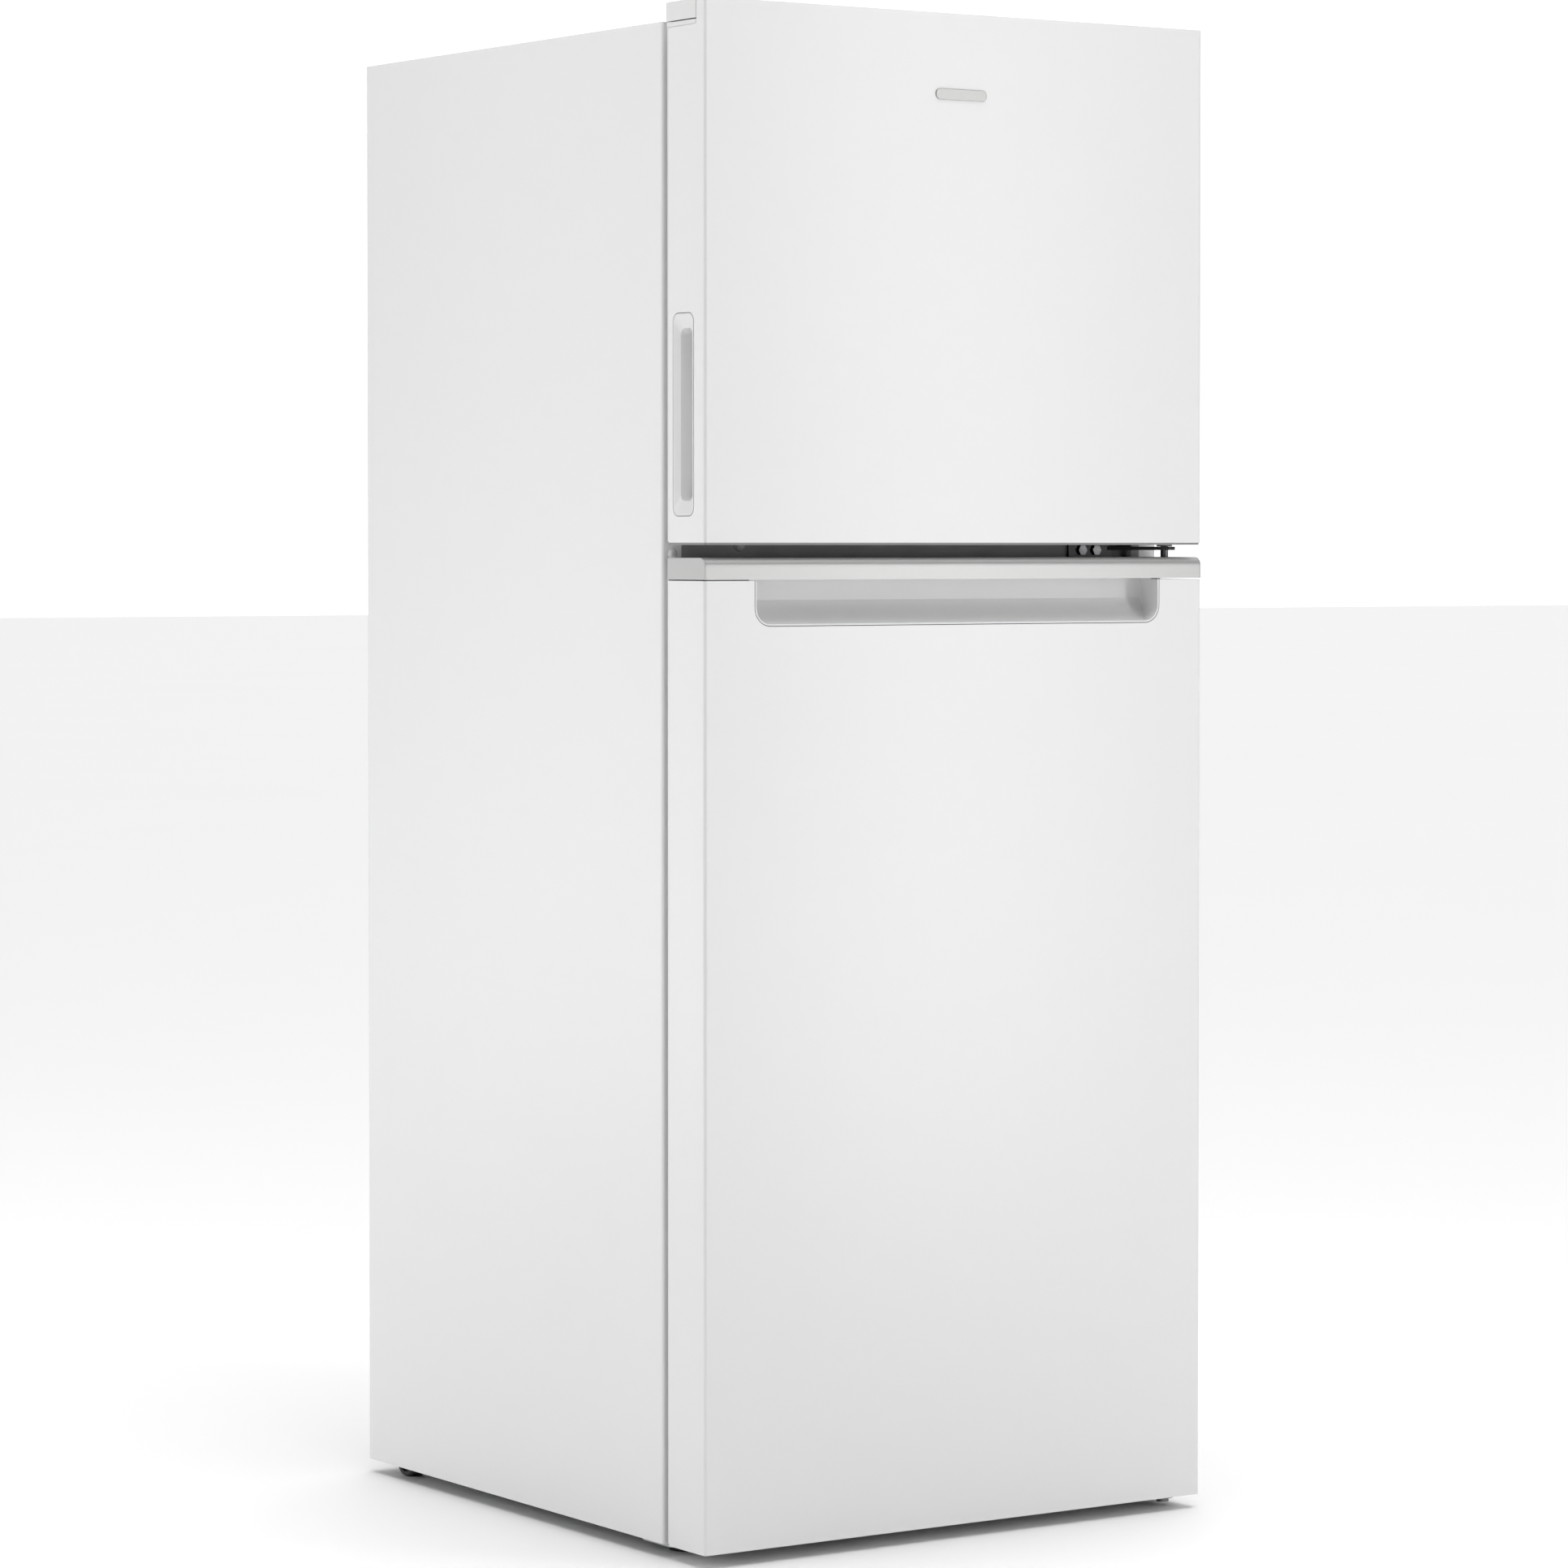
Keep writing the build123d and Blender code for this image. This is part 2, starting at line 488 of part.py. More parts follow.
def foam_ring(half, z0, z1, y0, y1, inset):
    """Four bars that fill one layer of the raised ring."""
    g, w = DOOR_LINER + CLEAR + inset, DYKE_WIDE - DOOR_LINER - CLEAR
    bars = []
    for side in (1, -1):
        xa, xb = sorted((side * (half - w), side * (half - g)))
        bars.append(block(xa, xb, y0, y1, z0 + g, z1 - g))
    for za, zb in ((z0 + g, z0 + w), (z1 - w, z1 - g)):
        bars.append(block(-half + w, half - w, y0, y1, za, zb))
    return bars


def frame_layer(half, z0, z1, low, high, y0, y1):
    """Foam round the sunk centre, between skin and rim."""
    w = DYKE_WIDE - DOOR_LINER - CLEAR
    x, edge = TUCK, half - w
    bars = [block(-x, -edge, y0, y1, low, high), block(edge, x, y0, y1, low, high)]
    bars += [block(-edge, edge, y0, y1, low, z0 + w), block(-edge, edge, y0, y1, z1 - w, high)]
    return bars


FZ_DYKE = (FZ_HALF - DYKE_PLAY, FZ_FLOOR + DYKE_PLAY, FZ_CEIL - DYKE_PLAY)
FR_DYKE = (FR_HALF - DYKE_PLAY, FR_FLOOR + DYKE_PLAY, FR_CEIL - DYKE_PLAY)


def freezer_door_foam():
    """Foam filling of the freezer door, leaving the side grip free."""
    half, z0, z1 = FZ_DYKE
    low, high = DOOR_SPLIT + 16 + CLEAR, DOOR_TOP - 36 - CLEAR
    x = TUCK
    y0, y1 = DOOR_FRONT + SHEET + CLEAR, DOOR_FLOOR - DOOR_LINER - CLEAR
    deep = SIDE_GRIP_DEPTH + 4
    grip = (SIDE_GRIP_LOW - 3, SIDE_GRIP_HIGH + 3)
    behind = SIDE_GRIP_BACK + 2.5
    slabs = [
        block(-HALF + deep, x, y0, y1, low, high),
        block(-x, -HALF + deep, y0, y1, grip[1], high),
        block(-x, -HALF + deep, y0, y1, low, grip[0]),
        block(-x, -HALF + deep, y0, SIDE_GRIP_FRONT - 2.5, *grip),
    ]
    back = SKIN_BACK - SHEET - CLEAR
    slabs += frame_layer(half, z0, z1, low, high, y1, back)[1:]
    inner = -half + DYKE_WIDE - DOOR_LINER - CLEAR
    slabs.append(block(-HALF + deep, inner, y1, back, *grip))
    slabs.append(block(-x, -HALF + deep, behind, back, *grip))
    slabs.append(block(-x, inner, y1, back, low, grip[0]))
    slabs.append(block(-x, inner, y1, back, grip[1], high))
    return slabs + foam_ring(half, z0, z1, back, DYKE_BACK - DOOR_LINER - CLEAR, 3)


def grip_section(grow):
    """Section of the lower door's finger recess: upright back, swept-out floor, room behind the lip."""
    front, back = DOOR_FRONT - 1, DOOR_FRONT + GRIP_DEPTH + grow
    low = GRIP_LOW - grow
    sweep = 23.0
    line = [
        Line((front, low), (back - sweep - 2, low)),
        Bezier((back - sweep - 2, low), (back - 5, low + 3), (back, low + sweep)),
        Line((back, low + sweep), (back, GRIP_TOP + grow)),
        Line((back, GRIP_TOP + grow), (DOOR_FRONT + LIP - grow, GRIP_TOP + grow)),
        Line((DOOR_FRONT + LIP - grow, GRIP_TOP + grow), (DOOR_FRONT + LIP - grow, TRIM_BOTTOM)),
        Line((DOOR_FRONT + LIP - grow, TRIM_BOTTOM), (front, TRIM_BOTTOM)),
        Line((front, TRIM_BOTTOM), (front, low)),
    ]
    return Plane.YZ * make_face(line)


def grip_void(grow):
    """The finger recess as a volume, its lower corners rounded in front view."""
    body = Pos(GRIP_LEFT - grow, 0, 0) * extrude(grip_section(grow), GRIP_RIGHT - GRIP_LEFT + 2 * grow)
    window = block(GRIP_LEFT - grow, GRIP_RIGHT + grow, DOOR_FRONT - 2, DOOR_BACK, GRIP_LOW - grow, 1000)
    corners = window.edges().filter_by(Axis.Y).group_by(Axis.Z)[0]
    return body & fillet(corners, 16 + grow)


def fridge_handle_pocket():
    """Moulded liner of the finger recess."""
    body = grip_void(GRIP_WALL) - grip_void(0)
    body -= block(-HALF, HALF, DOOR_FRONT - 5, DOOR_FRONT, 800, 1100)
    body -= block(-HALF, HALF, DOOR_FRONT - 5, DOOR_FRONT + LIP, TRIM_BOTTOM - 1, 1100)
    return body


def fridge_door_skin():
    """Skin of the lower door with the recess cut out of its upper edge."""
    top = TRIM_BOTTOM - 1.0
    body = door_skin(BASE_Z, top)
    play = GRIP_WALL + GRIP_SEAM
    cut = block(GRIP_LEFT - play, GRIP_RIGHT + play, DOOR_FRONT - 5, DOOR_FRONT + 5, GRIP_LOW - play, top + 5)
    cut = fillet(cut.edges().filter_by(Axis.Y).group_by(Axis.Z)[0], 16 + play)
    return body - cut


def trim_section(low, high, front, back, radius):
    """Strip section: square below, rounded over at the front top edge."""
    line = [
        Line((front, low), (back, low)),
        Line((back, low), (back, high)),
        Line((back, high), (front + radius, high)),
        RadiusArc((front + radius, high), (front, high - radius), -radius),
        Line((front, high - radius), (front, low)),
    ]
    return Plane.YZ * make_face(line)


END_PLATE = 1.6


def fridge_door_trim():
    """Silver strip that caps the lower door and serves as its pull."""
    x = HALF - END_PLATE - 0.25
    section = trim_section(TRIM_BOTTOM, TRIM_TOP, DOOR_FRONT, SKIN_BACK, 9.0)
    body = Pos(-x, 0, 0) * extrude(section, 2 * x)
    lip = DOOR_FRONT + LIP
    body -= block(-x + 2.5, x - 2.5, lip, SKIN_BACK - 2.5, TRIM_BOTTOM - 1, TRIM_TOP - 2.5)
    body -= block(GRIP_LEFT - 2, GRIP_RIGHT + 2, lip - 2, lip + 1, TRIM_BOTTOM - 1, GRIP_TOP + 2)
    body += block(AXIS_X - 10, AXIS_X + 10, AXIS_Y - 10, AXIS_Y + 10, TRIM_BOTTOM, TRIM_TOP)
    return body - post(AXIS_X, AXIS_Y, 950, 1000, PIN_R + PIN_PLAY)


def trim_end_caps():
    """Flat plates that close both ends of the silver strip."""
    section = trim_section(TRIM_BOTTOM, TRIM_TOP, DOOR_FRONT, SKIN_BACK, 9.0)
    right = Pos(HALF - END_PLATE, 0, 0) * extrude(section, END_PLATE)
    right = fillet(right.faces().sort_by(Axis.X)[-1].edges(), 0.5)
    return right, mirrored(right)


def fridge_door_bottom_cap():
    """End cap under the lower door with the bearing collar."""
    outer, core = cap_shell(BASE_Z + 0.3, BASE_Z + 16, 2.5)
    body = outer - (core & block(-HALF, HALF, DOOR_FRONT, DOOR_BACK, BASE_Z + 3, BASE_Z + 20))
    body += post(AXIS_X, AXIS_Y, 23.7, BASE_Z + 16, 8.5)
    return body - post(AXIS_X, AXIS_Y, 10, BASE_Z + 20, PIN_R + PIN_PLAY)


def fridge_door_foam():
    """Foam filling of the lower door round the finger recess."""
    half, z0, z1 = FR_DYKE
    low, high = BASE_Z + 16 + CLEAR, TRIM_BOTTOM - 1.2
    x = TUCK
    y0, y1 = DOOR_FRONT + SHEET + CLEAR, DOOR_FLOOR - DOOR_LINER - CLEAR
    clear = GRIP_WALL + GRIP_SEAM + 0.1
    under = GRIP_LOW - clear
    side = (GRIP_LEFT - clear, GRIP_RIGHT + clear)
    slabs = [
        block(-x, x, y0, y1, low, under),
        block(-x, side[0], y0, y1, under, high),
        block(side[1], x, y0, y1, under, high),
        block(side[0], side[1], DOOR_FRONT + GRIP_DEPTH + 2, y1, under, high),
    ]
    slabs += frame_layer(half, z0, z1, low, high, y1, SKIN_BACK - SHEET - CLEAR)
    return slabs + foam_ring(half, z0, z1, SKIN_BACK - SHEET - CLEAR, DYKE_BACK - DOOR_LINER - CLEAR, 3)


def gasket(z0, z1):
    """Magnetic seal: four strips round the inner panel."""
    outer, inner = HALF - 21.5, HALF - 38.5
    y0, y1 = DOOR_BACK + 0.02, CAB_FRONT - 0.4
    wide = outer - inner
    strips = []
    for side in (1, -1):
        xa, xb = sorted((side * inner, side * outer))
        strips.append(rounded(xa, xb, y0, y1, z0, z1, 1.5, Axis.Z))
    for low in (z0, z1 - wide):
        strips.append(rounded(-inner + 0.01, inner - 0.01, y0, y1, low, low + wide, 1.5, Axis.X))
    return strips


def door_bin(half, low, tall):
    """Door shelf: open tray with a thicker rail along its free edge."""
    y0, y1 = DOOR_FLOOR + 2, BIN_BACK
    body = tray(-half, half, y0, y1, low, low + tall, 2.4, 12)
    rail = block(-half + 14, half - 14, y1 - 0.5, y1 + 2.5, low + tall - 22, low + tall)
    return body + fillet(rail.edges().filter_by(Axis.X).group_by(Axis.Y)[-1], 1.4)


def freezer_door_bins():
    half = FZ_DYKE[0] - DYKE_WIDE - 1.0
    return [door_bin(half, z, 82) for z in (1082.0, 1246.0)]


def fridge_door_bins():
    half = FR_DYKE[0] - DYKE_WIDE - 1.0
    return [door_bin(half, z, tall) for z, tall in ((122.0, 118), (400.0, 92), (640.0, 72))]


# ---------------------------------------------------------------- freezer fittings
def freezer_shelf():
    """Wire shelf: three cross rods carrying front-to-back wires."""
    half = FZ_HALF - 1.5
    rods = [rod_x(y, 1235, -half, half, 2.8) for y in (-165.0, 0.0, 140.0)]
    pitch = 2 * (half - 12) / 20
    wires = [rod_y(-half + 12 + i * pitch, 1239.2, -172, 147, 1.6) for i in range(21)]
    front = rod_x(-172, 1239.2, -half + 10, half - 10, 2.2)
    return Part() + [*rods, *wires, front]


def slot_rows(x0, x1, zs, tall, y0, y1, count):
    """Rows of upright-ended vent slots."""
    pitch = (x1 - x0) / count
    cuts = []
    for z in zs:
        for i in range(count):
            left = x0 + i * pitch + pitch * 0.12
            cuts.append(rounded(left, left + pitch * 0.76, y0, y1, z, z + tall, tall / 2 - 0.05, Axis.Y))
    return cuts


def evaporator_cover():
    """Freezer rear panel with air outlets above, a return below and a shallow centre rib."""
    half = FZ_HALF - 1.0
    body = block(-half, half, COVER_Y, COVER_Y + 3, FZ_FLOOR + 1, FZ_CEIL - 1)
    body = fillet(body.edges().filter_by(Axis.Y), 15)
    body += rounded(-70, 70, COVER_Y - 8, COVER_Y + 1, FZ_FLOOR + 60, FZ_CEIL - 100, 12, Axis.Y)
    cuts = slot_rows(-200, 200, (1392.0, 1406.0, 1420.0), 7, COVER_Y - 10, COVER_Y + 5, 5)
    cuts += slot_rows(-200, 200, (1036.0, 1050.0), 7, COVER_Y - 10, COVER_Y + 5, 5)
    return body - cuts


def serpentine(y, z0, pitch, passes, x0, x1, radius):
    """Tube that runs back and forth along X in one upright plane."""
    points = []
    for i in range(passes):
        z = z0 + i * pitch
        ends = (x0, x1) if i % 2 == 0 else (x1, x0)
        points += [(ends[0], y, z), (ends[1], y, z)]
    path = FilletPolyline(*points, radius=pitch / 2 - 0.01)
    section = Plane(origin=points[0], z_dir=(1, 0, 0)) * Circle(radius)
    return sweep(section, path)


def evaporator():
    """Two rows of tube through a pack of aluminium fins."""
    z0, pitch, passes, rows = 1078.0, 26.0, 8, (194.0, 224.0)
    bore = 4.05
    fin = block(-0.25, 0.25, 180, 238, z0 - 13, z0 + pitch * passes - 13)
    for y in rows:
        for i in range(passes):
            fin -= rod_x(y, z0 + i * pitch, -1, 1, bore)
    fins = [Pos(-176 + 16 * i, 0, 0) * fin for i in range(23)]
    tubes = [serpentine(y, z0, pitch, passes, -200, 200, 4.0) for y in rows]
    return fins + tubes


def fan(hub_r, tip_r, blades, thick):
    """Axial fan about Z: domed hub and pitched blades."""
    hub = fillet(Cylinder(hub_r, thick).edges().group_by(Axis.Z)[-1], 2)
    body = hub
    reach = tip_r - hub_r + 3
    paddle = fillet(Box(reach, 26, 1.6).edges().filter_by(Axis.Z), 8)
    for i in range(blades):
        spin = Rot(0, 0, 360 / blades * i)
        body += spin * Pos(hub_r - 3 + reach / 2, 0, 0) * Rot(28, 0, 0) * paddle
    return body


def evaporator_fan():
    x, y, z = EVAP_FAN
    return Pos(x, y, z) * Rot(90, 0, 0) * (fan(17, 52, 5, 16) - Pos(0, 0, -8) * Cylinder(2.06, 20))


def condenser_fan():
    x, y, z = COND_FAN
    return Pos(x, y, z) * Rot(0, 90, 0) * (fan(17, 56, 5, 16) - Pos(0, 0, -8) * Cylinder(2.06, 20))


def fan_motors():
    """Both fan motors with their shafts and brackets."""
    x, y, z = EVAP_FAN
    upper = rod_y(x, z, y + 10, FZ_BACK - 8, 20) + rod_y(x, z, y - 1, y + 11, 2)
    upper += block(x - 40, x + 40, FZ_BACK - 10, FZ_BACK - 0.1, z - 8, z + 8)
    x, y, z = COND_FAN
    lower = rod_x(y, z, x - 44, x - 10, 22) + rod_x(y, z, x - 11, x + 1, 2)
    lower += block(x - 34, x - 30, y - 14, y + 14, 34.1, z)
    lower += block(x - 46, x - 12, y - 22, y + 22, 34.1, 36.1)
    return upper, lower


# ---------------------------------------------------------------- fridge fittings
def shelf_frame(low, rails):
    """Moulded rim that carries a glass pane; one of them has rails under it for the sliding bin."""
    half = FR_HALF - 1.0
    high = low + SHELF_THICK
    body = rounded(-half, half, SHELF_FRONT, SHELF_BACK, low, high, 6, Axis.Z)
    nose = rounded(-half, half, SHELF_FRONT - 6, SHELF_FRONT + 10, low - 6, high + 1, 3, Axis.X)
    body += nose & block(-half + 10, half - 10, SHELF_FRONT - 10, SHELF_FRONT + 20, low - 10, high + 5)
    body += nose & block(-half, half, SHELF_FRONT - 10, SHELF_FRONT + 6, low, high + 5)
    body -= block(-half + 22, half - 22, SHELF_FRONT + 18, SHELF_BACK - 18, low - 1, high + 1)
    body -= block(-half + 16, half - 16, SHELF_FRONT + 12, SHELF_BACK - 12, high - 4.4, high + 2)
    if rails:
        for y, lip in ((SHELF_FRONT + 12, 1), (170.0, -1)):
            web = sorted((y, y + 3 * lip))
            shelf = sorted((y, y + 11 * lip))
            body += block(-half + 8, half - 8, *web, low - 16, low + 0.5)
            body += block(-half + 8, half - 8, *shelf, low - 18, low - 16)
        body += block(-half + 8, half - 8, 150, 172, low, low + 6)
    return body


def shelf_frames():
    return [shelf_frame(z, z == SHELVES_Z[2]) for z in SHELVES_Z]


def glass_panes():
    """Tempered panes that drop into the frames."""
    half = FR_HALF - 17.2
    panes = []
    y0, y1 = SHELF_FRONT + 12.2, SHELF_BACK - 12.2
    for z in SHELVES_Z:
        top = z + SHELF_THICK
        panes.append(rounded(-half, half, y0, y1, top - 4.2, top - 0.2, 4, Axis.Z))
    return panes


def crisper_drawer():
    """Vegetable drawer: clear tub behind a thicker front with a grip scooped into its top edge."""
    low, high = 84.0, 296.0
    body = tray(-242, 242, -114, 84, low, high - 4, 2.6, 10)
    front = rounded(-248, 248, -120, -112, low, high + 6, 8, Axis.Y)
    front = fillet(front.edges().filter_by(lambda e: abs(e.center().Y + 120) < 0.01), 2.5)
    scoop = rounded(-70, 70, -124, -100, high - 14, high + 30, 12, Axis.Y)
    lip = rounded(-78, 78, -114, -100, high - 20, high - 16, 1.8, Axis.X)
    return body + front - scoop + lip


def flexi_bin():
    """Small bin that hangs from the shelf rails and slides sideways."""
    low, high = 618.0, 702.0
    y0, y1 = SHELF_FRONT + 26, 156.0
    body = tray(62, 232, y0, y1, low, high, 2.4, 10)
    rim_low, rim_high = 704.6, 707.0
    for lip in (1, -1):
        wall = y0 if lip > 0 else y1
        hook = sorted((wall - 9 * lip, wall + 2.4 * lip))
        post_y = sorted((wall, wall + 2.4 * lip))
        body += block(72, 222, *hook, rim_low, rim_high)
        body += block(72, 222, *post_y, high - 2, rim_high)
    return body


def control_housing():
    """Ceiling box with the thermostat; its lamp lens is a separate piece."""
    body = block(-95, 95, -200, -70, 932, FR_CEIL - 0.2)
    body = fillet(body.edges().group_by(Axis.Z)[0], 6)
    body -= rounded(-62, 38, -178, -98, 931, 935.2, 5, Axis.Z)
    return body - rod_y(DIAL[0], DIAL[2], -201, -188, 4.06)


def led_lens():
    """Ribbed diffuser under the control housing."""
    body = rounded(-61.8, 37.8, -177.8, -98.2, 929.5, 935, 4.8, Axis.Z)
    for i in range(9):
        y = -172 + 8.5 * i
        body -= block(-54, 30, y, y + 3, 929, 930.3)
    return body


def temperature_dial():
    """Knob with a raised grip bar and a stub shaft."""
    x, y, z = DIAL
    knob = rod_y(x, z, y - 11, y - 0.4, 13)
    knob = fillet(knob.edges().group_by(Axis.Y)[0], 1.5)
    bar = rounded(x - 2.6, x + 2.6, y - 17, y - 10, z - 11.5, z + 11.5, 2.4, Axis.Y)
    return knob + bar + rod_y(x, z, y - 1, y + 9, 4.0)


def air_duct():
    """Cover of the cold-air channel up the fridge's back wall."""
    body = rounded(-62, 62, FR_BACK - 18, FR_BACK - 0.2, 336, 930, 8, Axis.Z)
    body = body - rounded(-59, 59, FR_BACK - 15, FR_BACK + 2, 339, 927, 6, Axis.Z)
    cuts = slot_rows(-50, 50, (430.0, 600.0, 800.0), 6, FR_BACK - 20, FR_BACK - 10, 2)
    cuts += slot_rows(-50, 50, (442.0, 612.0, 812.0), 6, FR_BACK - 20, FR_BACK - 10, 2)
    return body - cuts


# ---------------------------------------------------------------- machine compartment
def compressor_plate():
    """Cross member that carries compressor, fan and both rear rollers."""
    y0, y1, low, high = STEP_Y + 4, CAB_BACK - 6, 32.0, 34.0
    body = block(-IN + 1, IN - 1, y0, y1, low, high)
    for fold in (y0, y1 - 2):
        body += block(-IN + 1, IN - 1, fold, fold + 2, low, high + 12)
    for side in (1, -1):
        x = side * ROLLER_X
        body -= block(x - 12, x + 12, ROLLER_Y - 24, ROLLER_Y + 24, low - 1, high + 1)
        for cheek in (x - 14.5, x + 12.5):
            ear = block(cheek, cheek + 2, ROLLER_Y - 12, ROLLER_Y + 12, ROLLER_Z - 10, ROLLER_Z + 10)
            body += fillet(ear.edges().filter_by(Axis.X), 8)
        body -= rod_x(ROLLER_Y, ROLLER_Z, x - 20, x + 20, 4.08)
    for x, y in grommet_places():
        body -= post(x, y, low - 1, high + 1, 6)
    return body


def grommet_places():
    """The compressor's four mounting points."""
    x, y = COMPRESSOR
    return [(x + dx, y + dy) for dx in (-85, 85) for dy in (-50, 50)]


def roller(x):
    """Nylon roller with moulded stub shafts."""
    wheel = fillet(Cylinder(ROLLER_R, 21).edges(), 2)
    wheel -= Pos(0, 0, 10.5) * (Cylinder(15, 6) - Cylinder(8, 6))
    wheel -= Pos(0, 0, -10.5) * (Cylinder(15, 6) - Cylinder(8, 6))
    stub = Cylinder(4.0, 28.6)
    return Pos(x, ROLLER_Y, ROLLER_Z) * Rot(0, 90, 0) * (wheel + stub)


def levelling_foot(x):
    """Threaded leg with a round ribbed pad."""
    tall = 6.0
    pad = fillet(Cylinder(FOOT_R, tall).edges().group_by(Axis.Z)[-1], 2)
    for i in range(12):
        pad -= Rot(0, 0, 30 * i) * Pos(FOOT_R + 1.2, 0, 1.5) * Cylinder(2.4, tall)
    body = Pos(0, 0, tall / 2) * pad + post(0, 0, tall - 1, 25.6 - FLOOR, 5.0)
    return Pos(x, FOOT_Y, FLOOR) * body


def compressor():
    """Welded steel can with suction and discharge stubs, terminal box and foot plate."""
    x, y = COMPRESSOR
    can = post(x, y, 54, 186, 70)
    can = fillet(can.edges().group_by(Axis.Z)[-1], 38)
    can = fillet(can.edges().group_by(Axis.Z)[0], 22)
    can += post(x, y, 112, 116, 74.5)
    can += rounded(x - 98, x + 98, y - 62, y + 62, 50, 54.5, 12, Axis.Z)
    can += rounded(x + 60, x + 92, y - 30, y + 30, 84, 140, 5, Axis.Z)
    for dy, z in ((-30, 150), (28, 160)):
        can += rod_x(y + dy, z, x + 40, x + 82, 4)
    for gx, gy in grommet_places():
        can -= post(gx, gy, 49, 56, 6)
    return can


def compressor_grommets():
    """Rubber mounts between compressor and plate."""
    mounts = []
    for x, y in grommet_places():
        mount = post(x, y, 34.05, 49.95, 12) + post(x, y, 30, 56, 5.8) + post(x, y, 54.6, 58, 9)
        mounts.append(mount - post(x, y, 29, 60, 2.5))
    return mounts


def condenser_coil():
    """Steel tube folded in three upright layers, held by two slotted plates."""
    z0, pitch, passes = 56.0, 22.0, 7
    layers = []
    for y in (172.0, 222.0, 272.0):
        layers.append(serpentine(y, z0, pitch, passes, 72, 250, 3.0))
    plates = []
    for x in (96.0, 226.0):
        sheet = block(x - 0.6, x + 0.6, 156, 288, 34.1, z0 + pitch * (passes - 1) + 14)
        for y in (172.0, 222.0, 272.0):
            for i in range(passes):
                sheet -= rod_x(y, z0 + i * pitch, x - 2, x + 2, 3.05)
        plates.append(sheet)
    return layers + plates


def drain_pan():
    """Defrost-water tray that sits over the warm compressor."""
    x, y = COMPRESSOR
    return tray(x - 104, x + 96, y - 78, y + 84, 187, 222, 2.2, 14)


def rear_cover():
    """Sheet cover of the machine compartment with louvre slots and a hole for the supply cord."""
    y0, y1 = CAB_BACK + CLEAR, CAB_BACK + 1.3
    body = rounded(-288, 288, y0, y1, 40, 262, 6, Axis.Y)
    for left in (-250.0, 30.0):
        for z in range(80, 240, 14):
            body -= rounded(left, left + 190, y0 - 1, y1 + 1, z, z + 5, 2.4, Axis.Y)
    for x in (-278, 278):
        for z in (52, 250):
            body -= rod_y(x, z, y0 - 1, y1 + 1, 2.4)
    return body - rod_y(GLAND[0], GLAND[1], y0 - 1, y1 + 1, 9.1)


GLAND = (-258.0, 60.0)


def supply_gland():
    """Strain-relief bush for the supply cord."""
    x, z = GLAND
    y = CAB_BACK
    body = rod_y(x, z, y - 6, y + 12, 9.0)
    body += rod_y(x, z, y + 1.4, y + 5, 12.5) + rod_y(x, z, y - 6, y - 1.5, 11.5)
    body = fillet(body.edges().group_by(Axis.Y)[-1].sort_by(SortBy.LENGTH)[-1], 2.5)
    return body - rod_y(x, z, y - 8, y + 14, 4.2)


def wall_spacers():
    """Two ribbed bumpers near the top of the back."""
    y0 = CAB_BACK - SHEET - CLEAR + 0.02
    spacers = []
    for x in (-200.0, 200.0):
        body = rounded(x - 22, x + 22, y0, y0 + 4, 1430, 1474, 6, Axis.Y)
        body += rounded(x - 14, x + 14, y0, SPACER_BACK, 1438, 1466, 6, Axis.Y)
        spacers.append(body)
    return spacers


